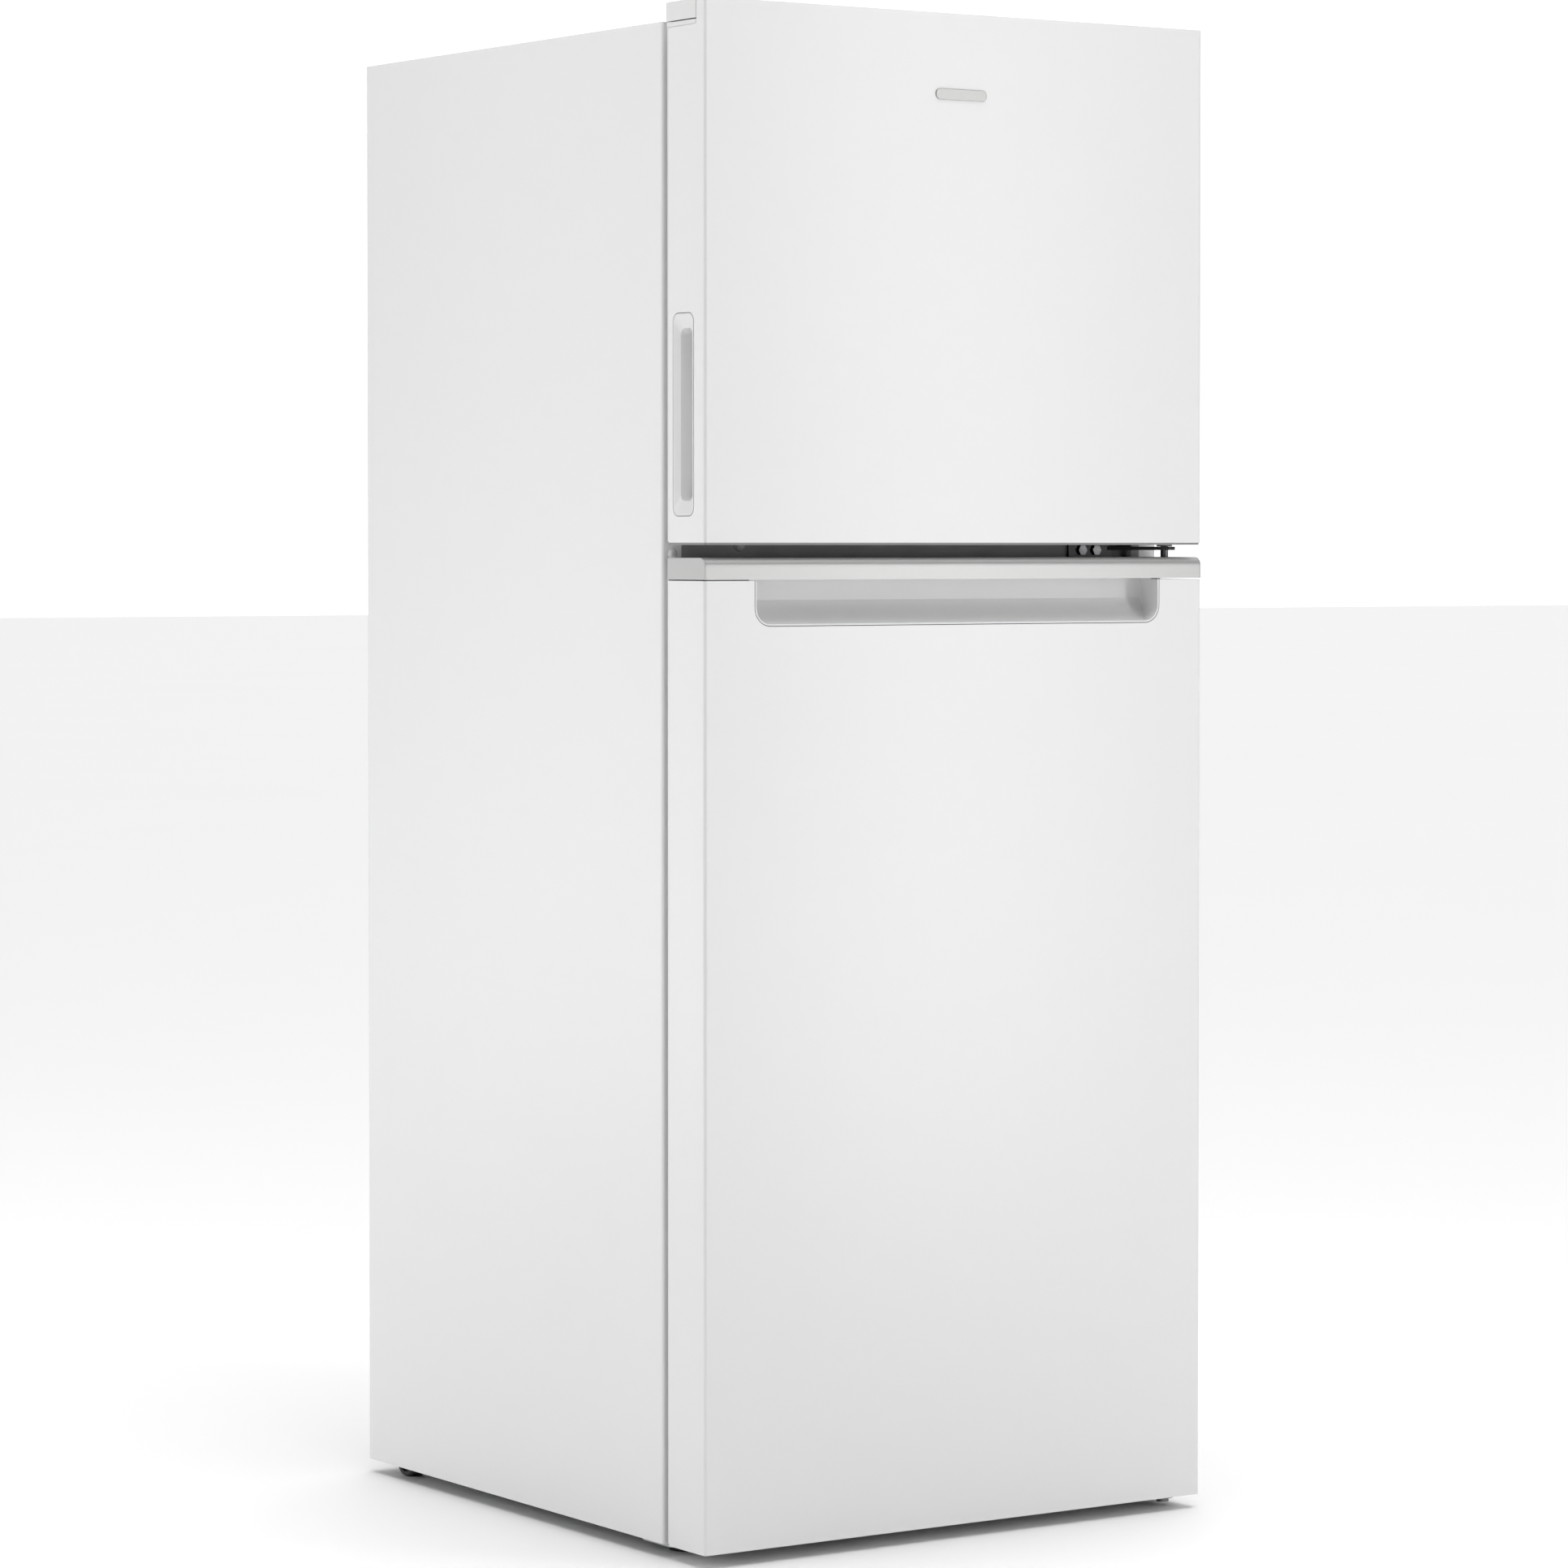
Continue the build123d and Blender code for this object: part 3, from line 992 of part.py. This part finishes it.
# ---------------------------------------------------------------- write every node
def main():
    os.makedirs("parts", exist_ok=True)
    right = side_panel()
    write("side_panel_right", right)
    write("side_panel_left", mirrored(right))
    write("top_panel", top_panel())
    write("back_panel", back_panel())
    write("base_pan", base_pan())
    write("cabinet_foam", *cabinet_foam())
    write("freezer_liner", freezer_liner())
    write("fridge_liner", fridge_liner())
    write("center_rail", center_rail())
    write("screw_hole_plugs", *screw_hole_plugs())
    write("top_hinge_bracket", top_hinge_bracket())
    write("top_hinge_cover", top_hinge_cover())
    write("center_hinge_bracket", center_hinge_bracket())
    write("bottom_hinge_bracket", bottom_hinge_bracket())
    write("hinge_pins_and_screws", *hinge_pins(), *hinge_screws())

    write("freezer_door_skin", freezer_door_skin())
    write("badge", badge())
    write("freezer_door_top_cap", freezer_door_top_cap())
    write("freezer_door_bottom_cap", freezer_door_bottom_cap())
    write("hinge_recess_cover", hinge_recess_cover())
    write("freezer_handle_pocket", freezer_handle_pocket())
    write("freezer_door_foam", *freezer_door_foam())
    write("freezer_door_liner", door_liner(FZ_DYKE[0], DOOR_SPLIT + 1, CABINET_TOP - 2.5, *FZ_DYKE[1:]))
    write("freezer_door_gasket", *gasket(1007.5, CABINET_TOP - 4))
    write("freezer_door_bins", *freezer_door_bins())

    write("fridge_door_skin", fridge_door_skin())
    write("fridge_door_trim", fridge_door_trim())
    write("trim_end_caps", *trim_end_caps())
    write("fridge_handle_pocket", fridge_handle_pocket())
    write("fridge_door_bottom_cap", fridge_door_bottom_cap())
    write("fridge_door_foam", *fridge_door_foam())
    write("fridge_door_liner", door_liner(FR_DYKE[0], BASE_Z + 2, TRIM_TOP - 2, *FR_DYKE[1:]))
    write("fridge_door_gasket", *gasket(42, 984))
    write("fridge_door_bins", *fridge_door_bins())

    write("freezer_shelf", freezer_shelf())
    write("evaporator_cover", evaporator_cover())
    write("evaporator", *evaporator())
    write("evaporator_fan", evaporator_fan())
    write("fan_motors", *fan_motors())
    write("shelf_frames", *shelf_frames())
    write("glass_panes", *glass_panes())
    write("crisper_drawer", crisper_drawer())
    write("flexi_bin", flexi_bin())
    write("control_housing", control_housing())
    write("led_lens", led_lens())
    write("temperature_dial", temperature_dial())
    write("air_duct", air_duct())

    write("compressor_plate", compressor_plate())
    write("compressor", compressor())
    write("compressor_grommets", *compressor_grommets())
    write("condenser_coil", *condenser_coil())
    write("condenser_fan", condenser_fan())
    write("drain_pan", drain_pan())
    write("rear_cover", rear_cover())
    write("supply_gland", supply_gland())
    write("wall_spacers", *wall_spacers())
    for name, side in (("left", -1), ("right", 1)):
        write(f"levelling_foot_{name}", levelling_foot(side * FOOT_X))
        write(f"roller_{name}", roller(side * ROLLER_X))


main()
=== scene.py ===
"""Studio scene of a top-freezer refrigerator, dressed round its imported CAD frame. Everything is in metres."""

import json
import math

import bmesh
import bpy
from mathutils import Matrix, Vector


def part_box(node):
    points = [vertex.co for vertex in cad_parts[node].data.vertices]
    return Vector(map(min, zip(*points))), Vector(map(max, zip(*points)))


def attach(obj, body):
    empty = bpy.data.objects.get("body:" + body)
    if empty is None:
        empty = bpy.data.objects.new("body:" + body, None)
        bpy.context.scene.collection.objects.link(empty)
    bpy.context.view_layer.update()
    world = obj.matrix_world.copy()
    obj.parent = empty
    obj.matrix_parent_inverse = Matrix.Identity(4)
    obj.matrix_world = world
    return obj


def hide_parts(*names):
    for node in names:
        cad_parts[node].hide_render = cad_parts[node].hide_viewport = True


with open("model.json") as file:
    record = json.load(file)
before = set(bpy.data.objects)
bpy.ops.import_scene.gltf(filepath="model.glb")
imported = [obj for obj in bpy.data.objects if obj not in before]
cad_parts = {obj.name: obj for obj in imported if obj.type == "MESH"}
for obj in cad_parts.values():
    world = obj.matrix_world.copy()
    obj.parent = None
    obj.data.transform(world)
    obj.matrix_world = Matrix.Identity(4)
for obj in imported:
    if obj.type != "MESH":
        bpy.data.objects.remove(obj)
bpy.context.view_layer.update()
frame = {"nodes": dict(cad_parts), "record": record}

MM = 0.001


# ---------------------------------------------------------------- camera
def make_camera():
    """Long lens about a metre up, in front of the refrigerator and to its left."""
    data = bpy.data.cameras.new("camera")
    data.lens = 121.2
    data.sensor_width = 36.0
    data.shift_y = -0.06
    data.clip_end = 100
    camera = bpy.data.objects.new("camera", data)
    camera.location = (-3.0553, -4.5965, 0.990)
    yaw, pitch = 0.5894, -0.0276
    camera.rotation_euler = (math.pi / 2 + pitch, 0, -yaw)
    bpy.context.scene.collection.objects.link(camera)
    bpy.context.scene.camera = camera
    bpy.context.scene.view_settings.view_transform = "Standard"


# ---------------------------------------------------------------- shader helpers
class Surface:
    """A Principled material with short calls for the texture nodes that feed it."""

    def __init__(self, name, colour, roughness, **settings):
        self.material = bpy.data.materials.new(name)
        self.material.use_nodes = True
        self.tree = self.material.node_tree
        self.shader = self.tree.nodes["Principled BSDF"]
        self.shader.inputs["Base Color"].default_value = (*colour, 1)
        self.shader.inputs["Roughness"].default_value = roughness
        for socket, value in settings.items():
            self.shader.inputs[socket.replace("_", " ")].default_value = value
        self.material.diffuse_color = (*colour, 1)
        self.place = self.tree.nodes.new("ShaderNodeTexCoord").outputs["Object"]

    def node(self, kind, **inputs):
        node = self.tree.nodes.new(kind)
        for socket, value in inputs.items():
            self.feed(node.inputs[socket.replace("_", " ")], value)
        return node

    def feed(self, socket, value):
        if isinstance(value, bpy.types.NodeSocket):
            self.tree.links.new(value, socket)
        else:
            socket.default_value = value

    def stretched(self, scale):
        """Object coordinates scaled differently along each axis."""
        mapping = self.node("ShaderNodeMapping", Vector=self.place)
        mapping.inputs["Scale"].default_value = scale
        return mapping.outputs["Vector"]

    def noise(self, scale, detail=2.0, rough=0.5, stretch=None):
        """Noise with features about 1/scale metres across."""
        vector = self.stretched(stretch) if stretch else self.place
        node = self.node("ShaderNodeTexNoise", Vector=vector, Scale=scale, Detail=detail, Roughness=rough)
        return node.outputs["Fac"]

    def cells(self, scale, output="Distance", stretch=None):
        """Cell pattern with cells about 1/scale metres across."""
        vector = self.stretched(stretch) if stretch else self.place
        return self.node("ShaderNodeTexVoronoi", Vector=vector, Scale=scale).outputs[output]

    def ranged(self, value, low, high, start=0.2, end=0.8):
        """The value remapped from start..end to low..high."""
        node = self.node("ShaderNodeMapRange", Value=value)
        for socket, number in (("From Min", start), ("From Max", end), ("To Min", low), ("To Max", high)):
            node.inputs[socket].default_value = number
        return node.outputs["Result"]

    def blend(self, factor, first, second):
        """Two colours mixed by a varying factor."""
        node = self.tree.nodes.new("ShaderNodeMix")
        node.data_type = "RGBA"
        self.feed(node.inputs["Factor"], factor)
        for socket in node.inputs:
            if socket.type == "RGBA":
                socket.default_value = (*(first if socket.name == "A" else second), 1)
        return next(socket for socket in node.outputs if socket.type == "RGBA")

    def colour(self, value):
        self.feed(self.shader.inputs["Base Color"], value)

    def roughness(self, value):
        self.feed(self.shader.inputs["Roughness"], value)

    def relief(self, height, strength, distance, under=None):
        """Bump from a height in 0..1 that stands for distance metres."""
        bump = self.node("ShaderNodeBump", Height=height, Strength=strength, Distance=distance)
        if under is not None:
            self.feed(bump.inputs["Normal"], under)
        self.feed(self.shader.inputs["Normal"], bump.outputs["Normal"])
        return bump.outputs["Normal"]


def shade(colour, factor):
    """The colour made lighter or darker."""
    return tuple(min(1.0, channel * factor) for channel in colour)


# ---------------------------------------------------------------- materials, one function per record slot
def enamel():
    """White coil-coated steel: glossy, with faint orange peel."""
    white = (0.83, 0.832, 0.83)
    s = Surface("enamel", white, 0.36, Coat_Weight=0.9, Coat_Roughness=0.27)
    s.colour(s.blend(s.ranged(s.noise(1.3, 0), 0, 1), shade(white, 0.994), shade(white, 1.004)))
    s.roughness(s.ranged(s.noise(2.2, 0), 0.34, 0.38))
    s.relief(s.noise(380.0, 2), 0.04, 0.1 * MM)
    return s.material


def moulded(name, colour, roughness, grain=1100.0, depth=0.06, **settings):
    """Injection-moulded plastic with a fine spark-eroded grain."""
    s = Surface(name, colour, roughness, **settings)
    s.colour(s.blend(s.ranged(s.noise(9.0, 1), 0, 1), shade(colour, 0.985), shade(colour, 1.01)))
    s.roughness(s.ranged(s.noise(30.0, 2), roughness - 0.03, roughness + 0.03))
    s.relief(s.noise(grain, 2), depth, 0.08 * MM)
    return s.material


def silver_plastic():
    """Metallised strip with very fine lengthwise brushing."""
    silver = (0.50, 0.50, 0.496)
    s = Surface("silver_plastic", silver, 0.34, Metallic=0.45)
    streak = s.noise(140.0, 3, 0.6, stretch=(0.1, 10, 10))
    s.colour(s.blend(s.ranged(streak, 0, 1), shade(silver, 0.975), shade(silver, 1.02)))
    s.roughness(s.ranged(streak, 0.32, 0.36))
    s.relief(streak, 0.02, 0.04 * MM)
    return s.material


def badge_metal():
    """Satin cast badge."""
    grey = (0.30, 0.30, 0.295)
    s = Surface("badge_metal", grey, 0.3, Metallic=1.0)
    streak = s.noise(300.0, 4, stretch=(1, 1, 14))
    s.colour(s.blend(s.ranged(streak, 0, 1), shade(grey, 0.9), shade(grey, 1.1)))
    s.roughness(s.ranged(streak, 0.24, 0.36))
    s.relief(streak, 0.08, 0.04 * MM)
    return s.material


def liner_plastic():
    """Vacuum-formed liner: smooth, satin and very slightly wavy."""
    white = (0.84, 0.845, 0.845)
    s = Surface("liner_plastic", white, 0.34)
    s.colour(s.blend(s.ranged(s.noise(4.0, 1), 0, 1), shade(white, 0.99), shade(white, 1.0)))
    s.roughness(s.ranged(s.noise(6.0, 1), 0.32, 0.37))
    s.relief(s.noise(14.0, 0), 0.04, 0.6 * MM)
    return s.material


def gasket():
    """Soft grey vinyl with faint moulding lines."""
    grey = (0.66, 0.665, 0.66)
    s = Surface("gasket", grey, 0.55)
    s.colour(s.blend(s.ranged(s.noise(40.0, 2), 0, 1), shade(grey, 0.97), shade(grey, 1.03)))
    s.roughness(s.ranged(s.noise(120.0, 2), 0.52, 0.6))
    s.relief(s.noise(900.0, 2), 0.08, 0.08 * MM)
    return s.material


def foam():
    """Cream rigid foam with small closed cells."""
    cream = (0.80, 0.70, 0.45)
    s = Surface("foam", cream, 0.85)
    s.colour(s.blend(s.ranged(s.cells(420.0), 0, 1, 0.0, 0.6), shade(cream, 0.85), shade(cream, 1.08)))
    s.relief(s.cells(420.0), 0.5, 0.6 * MM)
    return s.material


def galvanised():
    """Zinc-coated sheet with its crystal spangle."""
    colour = (0.52, 0.53, 0.54)
    s = Surface("galvanised", colour, 0.45, Metallic=0.9)
    flake = s.cells(110.0, "Color")
    grey = s.tree.nodes.new("ShaderNodeRGBToBW")
    s.feed(grey.inputs["Color"], flake)
    tone = grey.outputs["Val"]
    s.colour(s.blend(s.ranged(tone, 0, 1, 0.1, 0.9), shade(colour, 0.94), shade(colour, 1.05)))
    s.roughness(s.ranged(tone, 0.4, 0.5, 0.1, 0.9))
    s.relief(s.noise(300.0, 3), 0.1, 0.1 * MM)
    return s.material


def zinc():
    """Dull zinc plate on stampings, pins and screws."""
    grey = (0.2, 0.203, 0.208)
    s = Surface("zinc", grey, 0.3, Metallic=1.0)
    s.colour(s.blend(s.ranged(s.noise(55.0, 5), 0, 1), shade(grey, 0.82), shade(grey, 1.12)))
    s.roughness(s.ranged(s.noise(160.0, 4), 0.22, 0.42))
    s.relief(s.noise(500.0, 3), 0.12, 0.08 * MM)
    return s.material


def painted(name, colour, roughness, peel=160.0):
    """Plain painted or powder-coated steel."""
    s = Surface(name, colour, roughness)
    s.colour(s.blend(s.ranged(s.noise(12.0, 2), 0, 1), shade(colour, 0.96), shade(colour, 1.04)))
    s.roughness(s.ranged(s.noise(40.0, 2), roughness - 0.04, roughness + 0.05))
    s.relief(s.noise(peel, 2), 0.08, 0.12 * MM)
    return s.material


def aluminium():
    """Rolled fin stock."""
    grey = (0.74, 0.75, 0.76)
    s = Surface("aluminium", grey, 0.32, Metallic=1.0)
    streak = s.noise(80.0, 4, stretch=(1, 1, 16))
    s.colour(s.blend(s.ranged(streak, 0, 1), shade(grey, 0.88), shade(grey, 1.06)))
    s.roughness(s.ranged(streak, 0.26, 0.44))
    s.relief(streak, 0.08, 0.05 * MM)
    return s.material


def clear_plastic():
    """Clear polystyrene of the bins and drawers."""
    tint = (0.93, 0.955, 0.96)
    s = Surface("clear_plastic", tint, 0.08, Transmission_Weight=0.82, IOR=1.45)
    s.colour(s.blend(s.ranged(s.noise(8.0, 2), 0, 1), shade(tint, 0.97), shade(tint, 1.01)))
    s.roughness(s.ranged(s.noise(25.0, 3), 0.05, 0.14))
    s.relief(s.noise(45.0, 2), 0.06, 0.4 * MM)
    return s.material


def glass():
    """Tempered shelf pane, faintly green."""
    tint = (0.88, 0.955, 0.925)
    s = Surface("glass", tint, 0.03, Transmission_Weight=0.95, IOR=1.5)
    s.colour(s.blend(s.ranged(s.noise(5.0, 2), 0, 1), shade(tint, 0.98), shade(tint, 1.01)))
    s.roughness(s.ranged(s.noise(30.0, 3), 0.02, 0.05))
    return s.material


def lens():
    """Frosted diffuser of the lit cabinet lamp."""
    white = (0.90, 0.92, 0.93)
    s = Surface("lens", white, 0.45, Transmission_Weight=0.3, Emission_Strength=5.0)
    s.shader.inputs["Emission Color"].default_value = (1.0, 0.98, 0.94, 1)
    s.colour(s.blend(s.ranged(s.noise(60.0, 3), 0, 1), shade(white, 0.96), shade(white, 1.02)))
    s.relief(s.noise(600.0, 2), 0.2, 0.1 * MM)
    return s.material


def white_plastic():
    return moulded("white_plastic", (0.82, 0.82, 0.815), 0.32)


def grip_plastic():
    return moulded("grip_plastic", (0.82, 0.822, 0.82), 0.4, grain=1500.0, depth=0.08)


def grey_plastic():
    return moulded("grey_plastic", (0.30, 0.30, 0.30), 0.42)


def dark_plastic():
    return moulded("dark_plastic", (0.035, 0.035, 0.036), 0.45, depth=0.12)


def rubber():
    return moulded("rubber", (0.03, 0.03, 0.03), 0.62, grain=700.0, depth=0.15)


def motor():
    return moulded("motor", (0.10, 0.10, 0.105), 0.42, depth=0.1)


def wire():
    return painted("wire", (0.80, 0.80, 0.79), 0.3, peel=240.0)


def dark_rail():
    return painted("dark_rail", (0.34, 0.34, 0.34), 0.4)


def steel_black():
    return painted("steel_black", (0.02, 0.02, 0.021), 0.32)


SLOT_MATERIALS = (
    enamel, silver_plastic, badge_metal, white_plastic, liner_plastic, grip_plastic, gasket, foam,
    galvanised, dark_rail, zinc, steel_black, aluminium, wire, clear_plastic, glass, lens,
    dark_plastic, rubber, motor, grey_plastic,
)
MATERIALS = {make.__name__: make() for make in SLOT_MATERIALS}


def dress_cad_nodes():
    """Gives every CAD node the procedural material of its slot in the record."""
    for part in frame["record"]["subparts"]:
        data = frame["nodes"][part["node"]].data
        material = MATERIALS[part["material_slot"]]
        if not data.materials:
            data.materials.append(material)
        for index in range(len(data.materials)):
            data.materials[index] = material


# ---------------------------------------------------------------- added pieces
def add_piece(name, verts, faces, body, slot, sharp=35.0):
    """A mesh object that rides on a body and takes its finish from a slot."""
    mesh = bpy.data.meshes.new(name)
    mesh.from_pydata([tuple(v) for v in verts], [], faces)
    mesh.validate()
    tidy = bmesh.new()
    tidy.from_mesh(mesh)
    bmesh.ops.recalc_face_normals(tidy, faces=tidy.faces)
    tidy.to_mesh(mesh)
    tidy.free()
    mesh.shade_smooth()
    mesh.set_sharp_from_angle(angle=math.radians(sharp))
    mesh.materials.append(MATERIALS[slot])
    piece = bpy.data.objects.new(name, mesh)
    bpy.context.scene.collection.objects.link(piece)
    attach(piece, body)
    return piece


def smoothed(points, rounds=2):
    """A closed outline with its corners cut, as a softly moulded section has."""
    for _ in range(rounds):
        cut = []
        for first, second in zip(points, points[1:] + points[:1]):
            for share in (0.25, 0.75):
                cut.append(tuple(a + (b - a) * share for a, b in zip(first, second)))
        points = cut
    return points


GASKET_WIDTH = 17 * MM
# Section of the magnetic seal, as shares of its width inward from the outer edge and of its depth forward.
BELLOWS = [
    (0.16, 0.0), (0.10, 0.12), (0.02, 0.24), (0.16, 0.36), (0.16, 0.42), (0.0, 0.54), (0.0, 0.88),
    (0.06, 1.0), (0.62, 1.0), (0.70, 0.9), (0.70, 0.62), (0.84, 0.5), (0.98, 0.62), (1.0, 0.42),
    (0.86, 0.26), (0.86, 0.0),
]


def bellows_gasket(node, body):
    """Folded vinyl seal with welded mitred corners, in the space of the plain CAD ring."""
    low, high = (Vector(corner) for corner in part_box(node))
    section = smoothed(BELLOWS)
    depth = high.y - low.y
    verts = []
    for inward, forward in section:
        inset = inward * GASKET_WIDTH
        y = low.y + forward * depth
        x0, x1, z0, z1 = low.x + inset, high.x - inset, low.z + inset, high.z - inset
        verts += [(x0, y, z0), (x1, y, z0), (x1, y, z1), (x0, y, z1)]
    faces = []
    count = len(section)
    for ring in range(count):
        here, there = 4 * ring, 4 * ((ring + 1) % count)
        for corner in range(4):
            beside = (corner + 1) % 4
            faces.append((here + corner, here + beside, there + beside, there + corner))
    piece = add_piece(body + "_bellows_gasket", verts, faces, body, "gasket")
    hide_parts(node)


# Black tape sunk in the grip seams: seal tape, made dark so that it paints the shade in the seam gaps.
SEAM_SHADE_TAPE = (0.03 * MM, 0.67 * MM)  # from the edge of a grip moulding outwards
SEAM_SHADE_TAPE_DEPTH = (0.35 * MM, 0.75 * MM)  # under the face of the skin
SIDE_GRIP_CORNER = 8.6 * MM
WIDE_GRIP_CORNER = 17.6 * MM
CORNER_STEPS = 8


def rounded_path(low, high, radius):
    """Points and outward normals round a rounded rectangle, from the top of its left side anticlockwise."""
    centres = [(low[0] + radius, low[1] + radius), (high[0] - radius, low[1] + radius)]
    centres += [(high[0] - radius, high[1] - radius), (low[0] + radius, high[1] - radius)]
    path = []
    for corner, (across, up) in enumerate(centres):
        for step in range(CORNER_STEPS + 1):
            angle = math.radians(180 + 90 * (corner + step / CORNER_STEPS))
            normal = (math.cos(angle), math.sin(angle))
            path.append(((across + radius * normal[0], up + radius * normal[1]), normal))
    return path


def seam_shade_tape(name, path, closed, place, body):
    """Black tape in the gap round a grip moulding: seal tape whose dark colour paints the shade in the seam;
    place turns (across, up, depth) into a point.
    """
    verts = []
    for (across, up), normal in path:
        for out, depth in zip((0, 1, 1, 0), (0, 0, 1, 1)):
            reach = SEAM_SHADE_TAPE[out]
            verts.append(place(across + reach * normal[0], up + reach * normal[1], SEAM_SHADE_TAPE_DEPTH[depth]))
    faces = []
    count = len(path)
    for point in range(count if closed else count - 1):
        here, there = 4 * point, 4 * ((point + 1) % count)
        for edge in range(4):
            beside = (edge + 1) % 4
            faces.append((here + edge, here + beside, there + beside, there + edge))
    if not closed:
        faces += [(0, 1, 2, 3), tuple(range(4 * count - 1, 4 * count - 5, -1))]
    add_piece(name, verts, faces, body, "rubber")


def grip_seam_shades():
    """Black seal tape that paints the seam shade round the side grip, and round the foot of the wide grip."""
    low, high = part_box("freezer_handle_pocket")
    path = rounded_path((low[1], low[2]), (high[1], high[2]), SIDE_GRIP_CORNER)
    side = low[0]
    seam_shade_tape("side_grip_seam_shade", path, True, lambda y, z, depth: (side + depth, y, z), "freezer_door")
    low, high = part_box("fridge_handle_pocket")
    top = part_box("fridge_door_skin")[1][2]
    foot = rounded_path((low[0], low[2]), (high[0], high[2]), WIDE_GRIP_CORNER)[:2 * (CORNER_STEPS + 1)]
    path = [((low[0], top), (-1, 0))] + foot + [((high[0], top), (1, 0))]
    front = low[1]
    seam_shade_tape("wide_grip_seam_shade", path, False, lambda x, z, depth: (x, front + depth, z), "fridge_door")


def lathe(profile, count, centre, axis):
    """Vertices and faces of a turned shape; the profile runs from the axis outwards as (radius, height)."""
    turn = Vector(axis).to_track_quat("Z", "Y")
    verts = []
    for radius, height in profile:
        for step in range(count):
            angle = 2 * math.pi * step / count
            spoke = Vector((radius * math.cos(angle), radius * math.sin(angle), height))
            verts.append(Vector(centre) + turn @ spoke)
    faces = []
    for ring in range(len(profile) - 1):
        for step in range(count):
            beside = (step + 1) % count
            low, high = ring * count, (ring + 1) * count
            faces.append((low + step, low + beside, high + beside, high + step))
    faces.append(tuple(range(count)))
    faces.append(tuple(range((len(profile) - 1) * count, len(profile) * count))[::-1])
    return verts, faces


PAN_HEAD = [(0.6, 0.9), (1.1, 1.0), (1.3, 1.9), (2.4, 1.8), (3.5, 1.3), (4.0, 0.6), (4.1, 0.0)]


def pan_screw(name, place, axis, body="cabinet"):
    """Pan-head sheet-metal screw with a pressed drive recess."""
    profile = [(radius * MM, height * MM) for radius, height in PAN_HEAD]
    verts, faces = lathe(profile, 24, place, axis)
    add_piece(name, verts, faces, body, "zinc")


def rear_screws():
    """Screws in the corners of the rear cover."""
    low, high = (Vector(corner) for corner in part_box("rear_cover"))
    inset_x, inset_z = 10 * MM, 12 * MM
    columns = (low.x + inset_x, high.x - inset_x)
    rows = (low.z + inset_z, high.z - inset_z)
    places = [(x, z) for x in columns for z in rows]
    for number, (x, z) in enumerate(places):
        pan_screw(f"rear_cover_screw_{number}", (x, high.y, z), (0, 1, 0))


# ---------------------------------------------------------------- studio
SURROUND_GLOW = 0.08
ZENITH_GLOW = 3.9
BACKDROP_GLOW = 2.5


def make_floor():
    """Large pale floor."""
    size = 60.0
    mesh = bpy.data.meshes.new("floor")
    corners = [(-size, -size, 0), (size, -size, 0), (size, size, 0), (-size, size, 0)]
    mesh.from_pydata(corners, [], [(0, 1, 2, 3)])
    floor = bpy.data.objects.new("floor", mesh)
    bpy.context.scene.collection.objects.link(floor)
    pale = (0.93, 0.93, 0.93)
    s = Surface("floor_paint", pale, 0.7)
    s.colour(s.blend(s.ranged(s.noise(0.6, 2), 0, 1), shade(pale, 0.995), shade(pale, 1.005)))
    mesh.materials.append(s.material)


def make_world():
    """Soft surround: dim at the sides, bright overhead and behind the refrigerator."""
    world = bpy.data.worlds.new("surround")
    bpy.context.scene.world = world
    world.use_nodes = True
    tree = world.node_tree
    direction = tree.nodes.new("ShaderNodeTexCoord").outputs["Generated"]
    split = tree.nodes.new("ShaderNodeSeparateXYZ")
    tree.links.new(direction, split.inputs[0])

    def combine(operation, *values):
        node = tree.nodes.new("ShaderNodeMath")
        node.operation = operation
        for socket, value in zip(node.inputs, values):
            if isinstance(value, bpy.types.NodeSocket):
                tree.links.new(value, socket)
            else:
                socket.default_value = value
        return node.outputs["Value"]

    right, back, up = (combine("MAXIMUM", split.outputs[axis], 0.0) for axis in "XYZ")
    overhead = combine("MULTIPLY", combine("POWER", up, 8.0), ZENITH_GLOW)
    behind = combine("MULTIPLY", combine("MULTIPLY", right, back), BACKDROP_GLOW)
    strength = combine("ADD", combine("ADD", overhead, behind), SURROUND_GLOW)
    tree.links.new(strength, tree.nodes["Background"].inputs["Strength"])
    tree.nodes["Background"].inputs["Color"].default_value = (1, 1, 1, 1)


def softbox(name, place, target, size, power):
    """Rectangular area light aimed at a point."""
    data = bpy.data.lights.new(name, "AREA")
    data.shape = "RECTANGLE"
    data.size, data.size_y = size
    data.energy = power
    light = bpy.data.objects.new(name, data)
    light.location = place
    light.rotation_euler = (Vector(target) - Vector(place)).to_track_quat("-Z", "Y").to_euler()
    bpy.context.scene.collection.objects.link(light)


def make_lights():
    """Tall strips reflected in the doors and the left side, with a fill on the left and a light overhead."""
    softbox("door_strip", (1.83, -3.0, 1.0), (0.05, -0.34, 0.9), (0.36, 3.0), 24)
    softbox("side_wash", (-2.6, 3.4, 1.0), (-0.3, 0.15, 0.9), (0.6, 3.0), 14)
    softbox("left_fill", (-4.0, 0.9, 1.9), (-0.3, 0.0, 0.8), (2.0, 2.0), 34)
    softbox("overhead", (0.0, -1.7, 3.7), (0.0, -0.3, 0.5), (3.0, 2.4), 22)


make_camera()
dress_cad_nodes()
bellows_gasket("freezer_door_gasket", "freezer_door")
bellows_gasket("fridge_door_gasket", "fridge_door")
rear_screws()
grip_seam_shades()
make_floor()
make_world()
make_lights()
